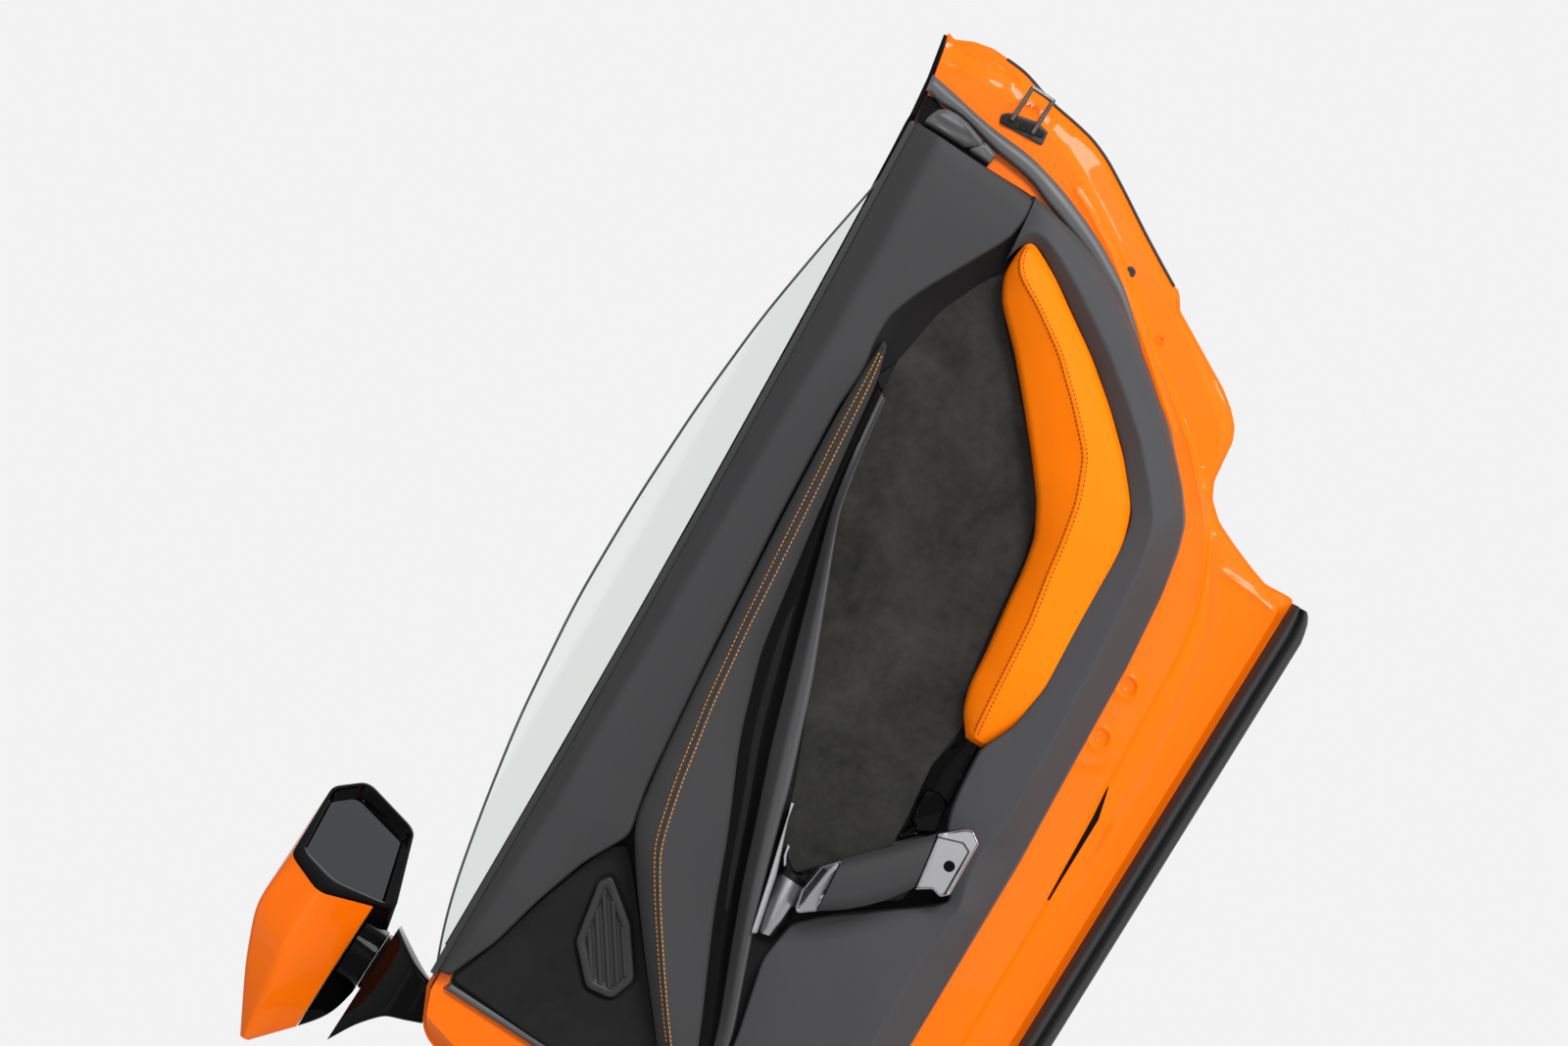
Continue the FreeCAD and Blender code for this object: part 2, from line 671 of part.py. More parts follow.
# Mirror head sections from the glass forward, heights above the fold's face. The first lies in the
# glass's plane and gives (distance outboard, height); the others give x, y and height. Six corners
# each, from inboard round the top.
HEAD_FACE = [(0, 92), (33, 139), (192, 147), (237, 117), (206, 43), (60, 10)]
HEAD_CORNER = (137, 92)
HEAD_SECTIONS = [
    [(75, 96, 85), (92, 122, 133), (150, 262, 139), (165, 292, 109), (150, 266, 33), (95, 140, 5)],
    [(20, 108, 79), (30, 125, 113), (60, 245, 121), (66, 266, 98), (58, 246, 43), (28, 140, 21)],
    [(-40, 130, 75), (-40, 138, 83), (-40, 215, 87), (-40, 224, 77), (-40, 214, 67), (-40, 142, 65)],
]


def head_face(depth=0.0, share=1.0):
    """Corners of the mirror's rear face, drawn in by share and moved forward by depth."""
    toe = math.radians(MIRROR_TOE)
    middle_h = sum(h for h, z in HEAD_FACE) / len(HEAD_FACE)
    middle_z = sum(z for h, z in HEAD_FACE) / len(HEAD_FACE)
    corners = []
    for h, z in HEAD_FACE:
        across = middle_h + (h - middle_h) * share
        x = HEAD_CORNER[0] + across * math.sin(toe) - depth * math.cos(toe)
        y = HEAD_CORNER[1] + across * math.cos(toe) + depth * math.sin(toe)
        corners.append(Vector(x, y, FOLD_HEIGHT + middle_z + (z - middle_z) * share))
    return corners


def mirror_head():
    """Whole outer form of the mirror head."""
    wires = [closed_polygon(head_face())]
    for section in HEAD_SECTIONS:
        wires.append(closed_polygon([Vector(x, y, FOLD_HEIGHT + z) for x, y, z in section]))
    return Part.makeLoft(wires, True, True)


def inner_head(share):
    """Straight block behind the mirror's rear face, drawn in from the head's edge."""
    return Part.makeLoft(
        [closed_polygon(head_face(-2.0, share)), closed_polygon(head_face(40.0, share))], True, True
    )


def behind_plane(distance):
    """Block forward of the mirror's glass plane, moved forward by distance."""
    toe = math.radians(MIRROR_TOE)
    normal = Vector(-math.cos(toe), math.sin(toe), 0)
    base = Vector(HEAD_CORNER[0], HEAD_CORNER[1], FOLD_HEIGHT) + normal * distance
    block = Part.makeBox(600, 800, 600, Vector(0, -400, -300))
    block.Placement = Placement(base, Rotation(Vector(0, 0, 1), 180.0 - MIRROR_TOE))
    return block


def under_split(shift):
    """Block under the line that parts the painted cap from the black housing."""
    block = Part.makeBox(600, 600, 300, Vector(-300, -100, -300 + shift))
    corner = Vector(HEAD_CORNER[0] + 10.0, 0, FOLD_HEIGHT + SPLIT_ABOVE_FOLD)
    block.Placement = Placement(corner, Rotation(Vector(0, 1, 0), 11.0))
    return block


add("inner_frame", inner_frame())
add("outer_skin", outer_skin())
add("outer_handle", outer_handle())
add("side_glass", side_glass())
add("belt_seal", belt_seal())
add("belt_moulding", belt_moulding())
add("belt_trim", belt_trim())
add("bolster", bolster())
add("channel_trim", channel_trim())
add("elbow_pad", elbow_pad())
add("card_surround", card_surround())
add("perimeter_seal", perimeter_seal())
add("sill_seal", sill_seal())
add("pocket_panel", panel(POCKET, CARD_BASE, 6.0, 1.0))
add("speaker_panel", speaker_panel())
add("speaker_grille", speaker_grille())
add("pull_handle", pull_handle())
add("handle_bezel_rear", handle_bezel(BEZEL_REAR, 64.0))
add("handle_bezel_front", handle_bezel(BEZEL_FRONT, 60.0))
add("handle_cup", panel(HANDLE_CUP, CARD_BASE, 5.0, 1.0))
add("switch_cup", panel(SWITCH_CUP, CARD_BASE, 10.0, 1.0))
add("window_switch", panel(SWITCH, 10.0 + SKIN_GAP, 20.0, 2.0, 3.0))
add("lever_plate", panel(LEVER_PLATE, CARD_BASE, LEVER_PLATE_RISE, 1.0, 3.0))
add("release_lever", release_lever())
add("belt_end_cap", panel(END_CAP, CARD_BASE, 22.0, 5.0))
add("striker_base", striker_base())
add("striker_loop", striker_loop())

# Mirror: foot on the door, head on the fold pivot
def mirror_foot():
    """Foot on the belt's front end and the arm up to the fold pivot."""
    x, y = FOLD_PIVOT
    neck = FOLD_HEIGHT - 11.0
    half = MIRROR_BOSS_RADIUS
    waist = 0.4 * FOLD_HEIGHT + 0.6 * BELT_START[1]
    sections = [
        [(78, 26, 181.8), (174, 26, 187), (174, 62, 187), (78, 62, 181.8)],
        [(82, 36, waist - 5), (162, 36, waist - 1), (158, 74, waist - 3), (84, 74, waist - 7)],
        [
            (x - 20, y - half - 8, neck), (x + 26, y - half - 8, neck),
            (x + 26, y + half - 8, neck), (x - 20, y + half - 8, neck),
        ],
    ]
    wires = []
    for section in sections:
        corners = [Vector(*corner) for corner in section]
        wires.append(closed_polygon(corners))
    arm = Part.makeLoft(wires, True, True)
    boss = Part.makeCylinder(MIRROR_BOSS_RADIUS, 19.0, Vector(x, y, FOLD_HEIGHT - 19.0))
    return fused(arm, boss)


def mirror_pieces():
    """Bezel, glass, painted cap and black housing, all cut from one head."""
    head = mirror_head()
    forward = behind_plane(BEZEL_DEPTH)
    front = head.common(forward)
    rear = head.cut(behind_plane(BEZEL_DEPTH - MIRROR_SEAM))
    pocket_depth = GLASS_RECESS + MIRROR_GLASS_THICKNESS + MIRROR_GLASS_GAP
    pocket = inner_head(BEZEL_OPENING).cut(behind_plane(pocket_depth))
    bezel = rear.cut(pocket)
    low = front.common(under_split(0.0))
    cap = front.cut(under_split(MIRROR_SEAM))
    x, y = FOLD_PIVOT
    floor = FOLD_HEIGHT + FOLD_GAP
    collar = Part.makeCylinder(MIRROR_BOSS_RADIUS + 2.0, 40.0, Vector(x, y, floor))
    clear = Part.makeCylinder(MIRROR_BOSS_RADIUS + 60.0, 60.0, Vector(x, y, floor - 60.0))
    neck = collar.common(under_split(0.0)).common(forward)
    housing = low.fuse(neck).removeSplitter().cut(clear)
    glass = inner_head(BEZEL_OPENING - 0.005).cut(behind_plane(pocket_depth - MIRROR_GLASS_GAP))
    glass = glass.common(behind_plane(GLASS_RECESS))
    return bezel, cap, housing, glass


bezel, cap, housing, mirror = mirror_pieces()
add("mirror_foot", mirror_foot())
add("mirror_bezel", bezel)
add("mirror_cap", cap)
add("mirror_housing", housing)
add("mirror_glass", mirror)


# Hinge and gas strut, drawn about the swing axis with y along it
def lever_point(angle):
    """Place of the strut's upper end at an opening angle."""
    turn = math.radians(STRUT_LEVER_ANGLE + angle)
    return STRUT_LEVER * math.cos(turn), STRUT_LEVER * math.sin(turn)


def strut_length(angle):
    """Length of the strut between its ends at an opening angle."""
    x, z = lever_point(angle)
    return math.hypot(x - STRUT_FOOT[0], z - STRUT_FOOT[1])


def strut_direction(angle):
    """Unit direction of the strut at an opening angle."""
    x, z = lever_point(angle)
    return unit(x - STRUT_FOOT[0], z - STRUT_FOOT[1])


def hinge_bracket():
    """Plate that bolts to the body, with the swing pivot's boss and the strut's foot."""
    plate_points = [
        (-196, -38, 20), (-196, 6, 20), (-84, 70, 40), (24, 106, 30), (92, 106, 24), (100, 30, 40),
        (84, -64, 20), (-78, -64, 20), (-120, -44, 40),
    ]
    plate = panel(plate_points, -BRACKET_THICKNESS, 0.0, 2.0)
    for x in (-BOLT_SPACING_X / 2.0, BOLT_SPACING_X / 2.0):
        for z in (-BOLT_SPACING_Z / 2.0, BOLT_SPACING_Z / 2.0):
            plate = plate.cut(round_bar(x, z, -2.0, BRACKET_THICKNESS + 2.0, BOLT_HOLE_RADIUS))
    face = -HUB_INNER - RUNNING_GAP
    boss = placed(round_bar(0, 0, -90.0, face, BRACKET_ROOT_RADIUS, BRACKET_BOSS_RADIUS), ON_BODY)
    foot_x, foot_z = STRUT_FOOT
    eye_half = SOCKET_RADIUS - 1.0
    stud_tip = -STRUT_RISE - eye_half - RUNNING_GAP
    stud = placed(round_bar(foot_x, foot_z, -90.0, stud_tip, 13.0, 9.0), ON_BODY)
    clip = -STRUT_RISE + eye_half + RUNNING_GAP
    pin = placed(round_bar(foot_x, foot_z, -90.0, clip + 3.0, STUD_RADIUS), ON_BODY)
    head = placed(round_bar(foot_x, foot_z, clip, clip + 3.0, STUD_RADIUS + 3.0), ON_BODY)
    keep = Part.makeBox(600, 300, 600, Vector(-300, 6.0, -300))
    body = fused(plate, boss.common(keep), stud.common(keep), pin.common(keep), head)
    seat = placed(
        round_bar(0, 0, face - PIN_SEAT_DEPTH, face + 1.0, PIN_RADIUS + PRESS_CLEARANCE), ON_BODY
    )
    return body.cut(seat)


def hinge_pin():
    """Swing pin, seated in the bracket's boss, with its head outboard of the hub."""
    face = -HUB_INNER - RUNNING_GAP
    shaft = round_bar(0, 0, face - PIN_SEAT_DEPTH, HUB_OUTER + 2.0, PIN_RADIUS)
    start = HUB_OUTER + RUNNING_GAP
    head = round_bar(0, 0, start, start + PIN_HEAD, PIN_HEAD_RADIUS)
    return fused(shaft, head)


def hinge_arm():
    """Forged arm from the hub to the flange bolted on the inner panel."""
    hub = placed(round_bar(0, 0, -HUB_INNER, HUB_OUTER, HUB_RADIUS), ON_DOOR)
    plate_points = [
        (-26, 10, 16), (0, 27, 20), (70, 54, 14), (132, 52, 12), (132, -62, 12), (70, -64, 14),
        (0, -27, 20), (-26, -10, 16),
    ]
    plate = panel(plate_points, 0.0, ARM_THICKNESS, 2.0)
    lever_x, lever_z = lever_point(0.0)
    lever = placed(round_bar(lever_x, lever_z, -8.0, -20.0, 12.0), ON_DOOR)
    web_points = [(-24, -6, 8), (22, -14, 8), (10, -70, 12), (-22, -68, 12)]
    web = placed(prism(web_points, -1.0, -12.0), ON_DOOR)
    stud_end = -STRUT_RISE + SOCKET_LENGTH / 2.0 + RUNNING_GAP
    stud = placed(round_bar(lever_x, lever_z, -18.0, stud_end, STUD_RADIUS), ON_DOOR)
    bolt_top = -ARM_THICKNESS - ARM_BOLT_HEAD
    bolts = [
        round_bar(x, z, bolt_top, 1.0 - ARM_THICKNESS, ARM_BOLT_RADIUS)
        for x in (84, 118) for z in (-46, 36)
    ]
    bore_radius = PIN_RADIUS + PIN_CLEARANCE
    bore = placed(round_bar(0, 0, -HUB_INNER - 2.0, HUB_OUTER + 2.0, bore_radius), ON_DOOR)
    return fused(hub, plate, lever, web, stud, *bolts).cut(bore)


def along_strut(shape, angle):
    """Turn a shape drawn along x about the origin to lie along the strut."""
    dx, dz = strut_direction(angle)
    turn = Rotation(Vector(0, 1, 0), -math.degrees(math.atan2(dz, dx)))
    foot = Placement(Vector(STRUT_FOOT[0], 0, STRUT_FOOT[1]), turn)
    return placed(placed(shape, foot), ON_BODY)


def along_bar(x_from, x_to, radius):
    """Round bar along x in the strut's plane."""
    return Part.makeCylinder(radius, x_to - x_from, Vector(x_from, -STRUT_RISE, 0), Vector(1, 0, 0))


def strut_cylinder():
    """Gas strut's cylinder with its eye on the bracket's stud."""
    tube = along_bar(CYLINDER_START, CYLINDER_END, CYLINDER_RADIUS)
    neck = along_bar(4.0, 4.0 + CYLINDER_START, 6.0)
    eye_half = SOCKET_RADIUS - 1.0
    eye = round_bar(0, 0, -STRUT_RISE - eye_half, -STRUT_RISE + eye_half, SOCKET_RADIUS)
    hole = round_bar(0, 0, -STRUT_RISE - 30.0, -STRUT_RISE + 30.0, STUD_RADIUS + PIN_CLEARANCE)
    bore = along_bar(50.0, 50.0 + CYLINDER_END, ROD_RADIUS + PIN_CLEARANCE)
    return fused(tube, neck, eye).cut(hole).cut(bore)


def strut_rod():
    """Gas strut's rod with the socket over the arm's stud."""
    reach = strut_length(OPEN_ANGLE)
    rod = along_bar(CYLINDER_END - ROD_INSIDE, reach - 4.0, ROD_RADIUS)
    half = SOCKET_LENGTH / 2.0
    socket = round_bar(reach, 0, -STRUT_RISE - half, -STRUT_RISE + half, SOCKET_RADIUS)
    return fused(rod, socket)


add("hinge_bracket", hinge_bracket(), Placement())
add("hinge_pin", hinge_pin(), ON_BODY)
add("hinge_arm", hinge_arm())
add("strut_cylinder", along_strut(strut_cylinder(), OPEN_ANGLE), Placement())
add("strut_rod", along_strut(strut_rod(), OPEN_ANGLE), Placement())

os.makedirs(PARTS, exist_ok=True)
for name, shape in nodes.items():
    shape.exportStep(os.path.join(PARTS, name + ".step"))
    print(name, "solids", len(shape.Solids), "valid", shape.isValid(), "volume", round(shape.Volume))
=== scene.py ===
"""Looks of a sports car's raised scissor door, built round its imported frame.

Lengths are in millimetres in the shut door's own drawing frame: x to the rear, y outboard, z up.
"Rise" is how far a surface stands inboard of the inner panel. Swing.place turns such points into
metres in the row frame, where the door stands raised.
"""

import logging
import math
from collections.abc import Callable, Sequence
from dataclasses import dataclass, replace
from enum import Enum
from functools import cache

import bmesh
import bpy
import numpy as np
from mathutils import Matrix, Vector, geometry


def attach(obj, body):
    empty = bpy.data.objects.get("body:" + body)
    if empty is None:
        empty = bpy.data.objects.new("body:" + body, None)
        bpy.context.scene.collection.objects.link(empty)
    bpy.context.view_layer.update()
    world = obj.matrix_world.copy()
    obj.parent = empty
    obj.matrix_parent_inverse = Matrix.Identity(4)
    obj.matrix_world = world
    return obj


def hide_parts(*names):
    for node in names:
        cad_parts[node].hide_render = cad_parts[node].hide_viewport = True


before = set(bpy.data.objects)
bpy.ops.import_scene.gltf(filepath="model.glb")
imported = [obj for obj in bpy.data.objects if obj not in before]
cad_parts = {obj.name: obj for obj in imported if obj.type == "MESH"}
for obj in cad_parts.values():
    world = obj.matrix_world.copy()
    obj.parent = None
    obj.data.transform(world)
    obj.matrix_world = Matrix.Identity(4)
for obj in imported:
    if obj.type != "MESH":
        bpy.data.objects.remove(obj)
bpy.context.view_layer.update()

log = logging.getLogger("door")

Rows = Sequence[Sequence[float]]
Faces = list[tuple[int, ...]]
Shape = tuple[np.ndarray, Faces]
Relief = Callable[[np.ndarray, np.ndarray], np.ndarray]


@dataclass(frozen=True)
class Swing:
    """Where the shut door's drawing frame lies in the row frame once it is swung open."""

    pivot: tuple[float, float, float] = (60.0, 75.0, 55.0)
    angle: float = 58.0
    roll: float = 8.0
    yaw: float = 2.5

    def turn(self) -> np.ndarray:
        """Rotation from the shut door to the raised one.

        Returns:
            A 3 by 3 matrix about the swing axis, which points inboard and a little up.
        """
        roll, yaw, angle = (math.radians(v) for v in (self.roll, self.yaw, self.angle))
        x, y, z = -math.sin(yaw) * math.cos(roll), -math.cos(yaw) * math.cos(roll), math.sin(roll)
        cross = np.array([[0, -z, y], [z, 0, -x], [-y, x, 0]])
        return np.eye(3) + math.sin(angle) * cross + (1.0 - math.cos(angle)) * cross @ cross

    def place(self, points: np.ndarray) -> np.ndarray:
        """Door points in millimetres as row points in metres.

        Args:
            points: (n, 3) points of the shut door.

        Returns:
            (n, 3) points of the raised door.
        """
        return (np.asarray(points, float) @ self.turn().T + np.array(self.pivot)) / 1000.0


SWING = Swing()


@dataclass(frozen=True)
class Belt:
    """The belt line and the curved glass that stands on it."""

    start: tuple[float, float] = (128.0, 184.0)
    length: float = 1062.0
    slope: float = 3.3
    sag: float = 6.0
    glass_radius: float = 1100.0
    glass_lean: float = 31.0
    glass_out: float = 14.0
    glass_thickness: float = 4.8

    def height(self, x: np.ndarray | float) -> np.ndarray | float:
        """Height of the belt line at x."""
        share = (np.asarray(x, float) - self.start[0]) / self.length
        rise = self.length * share * math.tan(math.radians(self.slope))
        return self.start[1] + rise - self.sag * 4.0 * share * (1.0 - np.minimum(1.0, share))

    def out(self, up: np.ndarray) -> np.ndarray:
        """Outboard distance of the glass's outer face at a height above the belt."""
        lean = math.radians(self.glass_lean)
        reach = np.sqrt(self.glass_radius ** 2 - (up + self.glass_radius * math.sin(lean)) ** 2)
        return self.glass_out - self.glass_radius * math.cos(lean) + reach


BELT = Belt()


class Body(Enum):
    """The frame's moving bodies that carry pieces made here."""

    DOOR = "door"
    MIRROR = "mirror_head"


# Node trees
class Tree:
    """Short ways to add and join the nodes of one tree."""

    def __init__(self, tree: bpy.types.NodeTree) -> None:
        """Take a tree to add nodes to."""
        self.tree = tree
        self.count = 0

    def add(self, kind: str, **values: object) -> bpy.types.Node:
        """Add a node and set its values.

        Args:
            kind: the node's type, without the ShaderNode at its start.
            values: settings by name, or sockets' values by name with spaces as underscores.

        Returns:
            The new node.
        """
        prefix = "" if kind.startswith("Node") else "ShaderNode"
        node = self.tree.nodes.new(prefix + kind)
        node.location = (180 * (self.count % 8), -220 * (self.count // 8))
        self.count += 1
        for name, value in values.items():
            socket = name.replace("_", " ")
            if socket in node.inputs:
                node.inputs[socket].default_value = value
            else:
                setattr(node, name, value)
        return node

    def join(self, output: bpy.types.NodeSocket, target: bpy.types.NodeSocket) -> None:
        """Link an output to an input."""
        self.tree.links.new(output, target)

    def maths(self, operation: str, first: object, second: object = 0.0) -> bpy.types.NodeSocket:
        """Add a maths node.

        Args:
            operation: its operation's name.
            first: a socket or a number.
            second: a socket or a number.

        Returns:
            The node's output.
        """
        node = self.add("Math", operation=operation)
        for index, value in enumerate((first, second)):
            if isinstance(value, bpy.types.NodeSocket):
                self.join(value, node.inputs[index])
            else:
                node.inputs[index].default_value = value
        return node.outputs[0]

    def swing(self, value: object, spread: str) -> bpy.types.NodeSocket:
        """A value's distance from one half, times twice the group's input named spread."""
        return self.maths("MULTIPLY", self.maths("SUBTRACT", value, 0.5),
                          self.maths("MULTIPLY", self.start.outputs[spread], 2.0))

    def texture(self, kind: str, share: float, **values: object) -> bpy.types.Node:
        """Add a texture in the object's own space, at a share of the group's Size."""
        node = self.add(kind, **values)
        self.join(self.add("TexCoord").outputs["Object"], node.inputs["Vector"])
        self.join(self.maths("MULTIPLY", self.start.outputs["Size"], share), node.inputs["Scale"])
        return node

    def seen(self) -> bpy.types.NodeSocket:
        """One for rays from the camera, and for those that metal and glass pass on."""
        path = self.add("LightPath")
        passed = self.maths("MAXIMUM", path.outputs["Is Glossy Ray"], path.outputs["Is Transmission Ray"])
        return self.maths("MAXIMUM", path.outputs["Is Camera Ray"], passed)

    def blend(
        self, mask: bpy.types.NodeSocket, first: bpy.types.Node, second: bpy.types.Node, end: str
    ) -> None:
        """Mix two shaders by a mask into the tree's end."""
        mix = self.add("MixShader")
        for socket, source in zip(mix.inputs, (mask, first.outputs[0], second.outputs[0])):
            self.join(source, socket)
        self.join(mix.outputs[0], self.add(end).inputs[0])


def new_group(name: str, inputs: Sequence[tuple], outputs: Sequence[tuple]) -> Tree:
    """Start a shader node group with named sockets.

    Args:
        name: the group's name.
        inputs: (name, socket type, default value) of each input.
        outputs: (name, socket type) of each output.

    Returns:
        The group's tree, with its ends as tree.start and tree.end.
    """
    group = bpy.data.node_groups.new(name, "ShaderNodeTree")
    for label, kind, value in inputs:
        socket = group.interface.new_socket(name=label, in_out="INPUT", socket_type=kind)
        socket.default_value = value
    for label, kind in outputs:
        group.interface.new_socket(name=label, in_out="OUTPUT", socket_type=kind)
    tree = Tree(group)
    tree.start = tree.add("NodeGroupInput")
    tree.end = tree.add("NodeGroupOutput")
    return tree


FLOAT, COLOUR = "NodeSocketFloat", "NodeSocketColor"


class Effects:
    """Node groups that several finishes share, each built once."""

    @staticmethod
    @cache
    def grain() -> bpy.types.NodeTree:
        """Fine pebbled grain with creases between the pebbles."""
        inputs = [("Size", FLOAT, 900.0), ("Crease", FLOAT, 0.5)]
        tree = new_group("pebble grain", inputs, [("Height", FLOAT)])
        cells = tree.texture("TexVoronoi", 1.0, feature="SMOOTH_F1", Randomness=0.9)
        drift = tree.texture("TexNoise", 0.35, Detail=3.0, Roughness=0.6)
        pits = tree.maths("MULTIPLY", cells.outputs["Distance"], tree.start.outputs["Crease"])
        tree.join(tree.maths("SUBTRACT", drift.outputs["Fac"], pits), tree.end.inputs["Height"])
        return tree.tree

    @staticmethod
    @cache
    def mottle() -> bpy.types.NodeTree:
        """Cloudy light and dark patches from 0 to 1, with a finer cloud on top."""
        inputs = [("Size", FLOAT, 12.0), ("Contrast", FLOAT, 1.0)]
        tree = new_group("cloudy mottle", inputs, [("Value", FLOAT)])
        coarse = tree.texture("TexNoise", 1.0, Detail=4.0, Roughness=0.55, Distortion=0.6)
        fine = tree.texture("TexNoise", 7.0, Detail=5.0, Roughness=0.65)
        blend = tree.maths("ADD", tree.maths("MULTIPLY", coarse.outputs["Fac"], 0.68),
                           tree.maths("MULTIPLY", fine.outputs["Fac"], 0.32))
        spread = tree.maths("MULTIPLY", tree.maths("SUBTRACT", blend, 0.5), tree.start.outputs["Contrast"])
        tree.join(tree.maths("ADD", spread, 0.5), tree.end.inputs["Value"])
        return tree.tree

    @staticmethod
    @cache
    def shade() -> bpy.types.NodeTree:
        """A colour made lighter and darker by a value round one half."""
        inputs = [("Colour", COLOUR, (0.5, 0.5, 0.5, 1.0)), ("Value", FLOAT, 0.5), ("Spread", FLOAT, 0.2)]
        tree = new_group("light and dark", inputs, [("Colour", COLOUR)])
        scale = tree.add("VectorMath", operation="SCALE")
        tree.join(tree.start.outputs["Colour"], scale.inputs[0])
        swing = tree.swing(tree.start.outputs["Value"], "Spread")
        tree.join(tree.maths("ADD", swing, 1.0), scale.inputs["Scale"])
        tree.join(scale.outputs[0], tree.end.inputs["Colour"])
        return tree.tree

    @staticmethod
    @cache
    def handling() -> bpy.types.NodeTree:
        """Roughness that drifts a little, as wiping and touching leave it."""
        inputs = [("Roughness", FLOAT, 0.4), ("Drift", FLOAT, 0.05), ("Size", FLOAT, 9.0)]
        tree = new_group("handling marks", inputs, [("Roughness", FLOAT)])
        noise = tree.texture("TexNoise", 1.0, Detail=5.0, Roughness=0.6, Distortion=0.4)
        swing = tree.swing(noise.outputs["Fac"], "Drift")
        tree.join(tree.maths("ADD", swing, tree.start.outputs["Roughness"]), tree.end.inputs["Roughness"])
        return tree.tree


# Finishes
@dataclass(frozen=True)
class Finish:
    """A surface finish: base colour, gloss, grain and the patches in it."""

    name: str
    slot: str
    colour: tuple[float, float, float]
    roughness: float
    metallic: float = 0.0
    specular: float = 0.5
    coat: float = 0.0
    coat_roughness: float = 0.05
    sheen: float = 0.0
    mottle_size: float = 12.0
    mottle_spread: float = 0.04
    mottle_contrast: float = 1.0
    drift: float = 0.04
    grain_size: float = 900.0
    grain_crease: float = 0.5
    grain_strength: float = 0.1
    grain_depth: float = 0.0003

    def material(self) -> bpy.types.Material:
        """The finish's material, built the first time it is asked for.

        Returns:
            A material with a Principled BSDF fed by the shared effects.
        """
        if self.name in bpy.data.materials:
            return bpy.data.materials[self.name]
        made = bpy.data.materials.new(self.name)
        made.use_nodes = True
        made.diffuse_color = (*self.colour, 1.0)
        tree = Tree(made.node_tree)
        shader = made.node_tree.nodes["Principled BSDF"]
        settings = (
            ("Metallic", self.metallic), ("Specular IOR Level", self.specular), ("Coat Weight", self.coat),
            ("Coat Roughness", self.coat_roughness), ("Sheen Weight", self.sheen), ("Sheen Roughness", 0.5),
        )
        for socket, value in settings:
            shader.inputs[socket].default_value = value
        mottle = tree.add("Group", node_tree=Effects.mottle(), Size=self.mottle_size,
                          Contrast=self.mottle_contrast)
        shade = tree.add("Group", node_tree=Effects.shade(), Spread=self.mottle_spread,
                         Colour=(*self.colour, 1.0))
        tree.join(mottle.outputs["Value"], shade.inputs["Value"])
        tree.join(shade.outputs["Colour"], shader.inputs["Base Color"])
        handling = tree.add("Group", node_tree=Effects.handling(), Drift=self.drift,
                            Roughness=self.roughness)
        tree.join(handling.outputs["Roughness"], shader.inputs["Roughness"])
        if self.grain_strength > 0.0:
            grain = tree.add("Group", node_tree=Effects.grain(), Size=self.grain_size,
                             Crease=self.grain_crease)
            bump = tree.add("Bump", Strength=self.grain_strength, Distance=self.grain_depth)
            tree.join(grain.outputs["Height"], bump.inputs["Height"])
            tree.join(bump.outputs["Normal"], shader.inputs["Normal"])
        return made


@dataclass(frozen=True)
class ClearGlass:
    """Toughened side glass with a faint tint."""

    name: str = "side glass"
    slot: str = "glass"
    colour: tuple[float, float, float] = (0.86, 0.90, 0.88)
    roughness: float = 0.0

    def material(self) -> bpy.types.Material:
        """The glass's material, built the first time it is asked for."""
        if self.name in bpy.data.materials:
            return bpy.data.materials[self.name]
        made = bpy.data.materials.new(self.name)
        made.use_nodes = True
        made.diffuse_color = (*self.colour, 0.3)
        shader = made.node_tree.nodes["Principled BSDF"]
        shader.inputs["Base Color"].default_value = (*self.colour, 1.0)
        shader.inputs["Roughness"].default_value = self.roughness
        shader.inputs["IOR"].default_value = 1.5
        shader.inputs["Transmission Weight"].default_value = 1.0
        return made


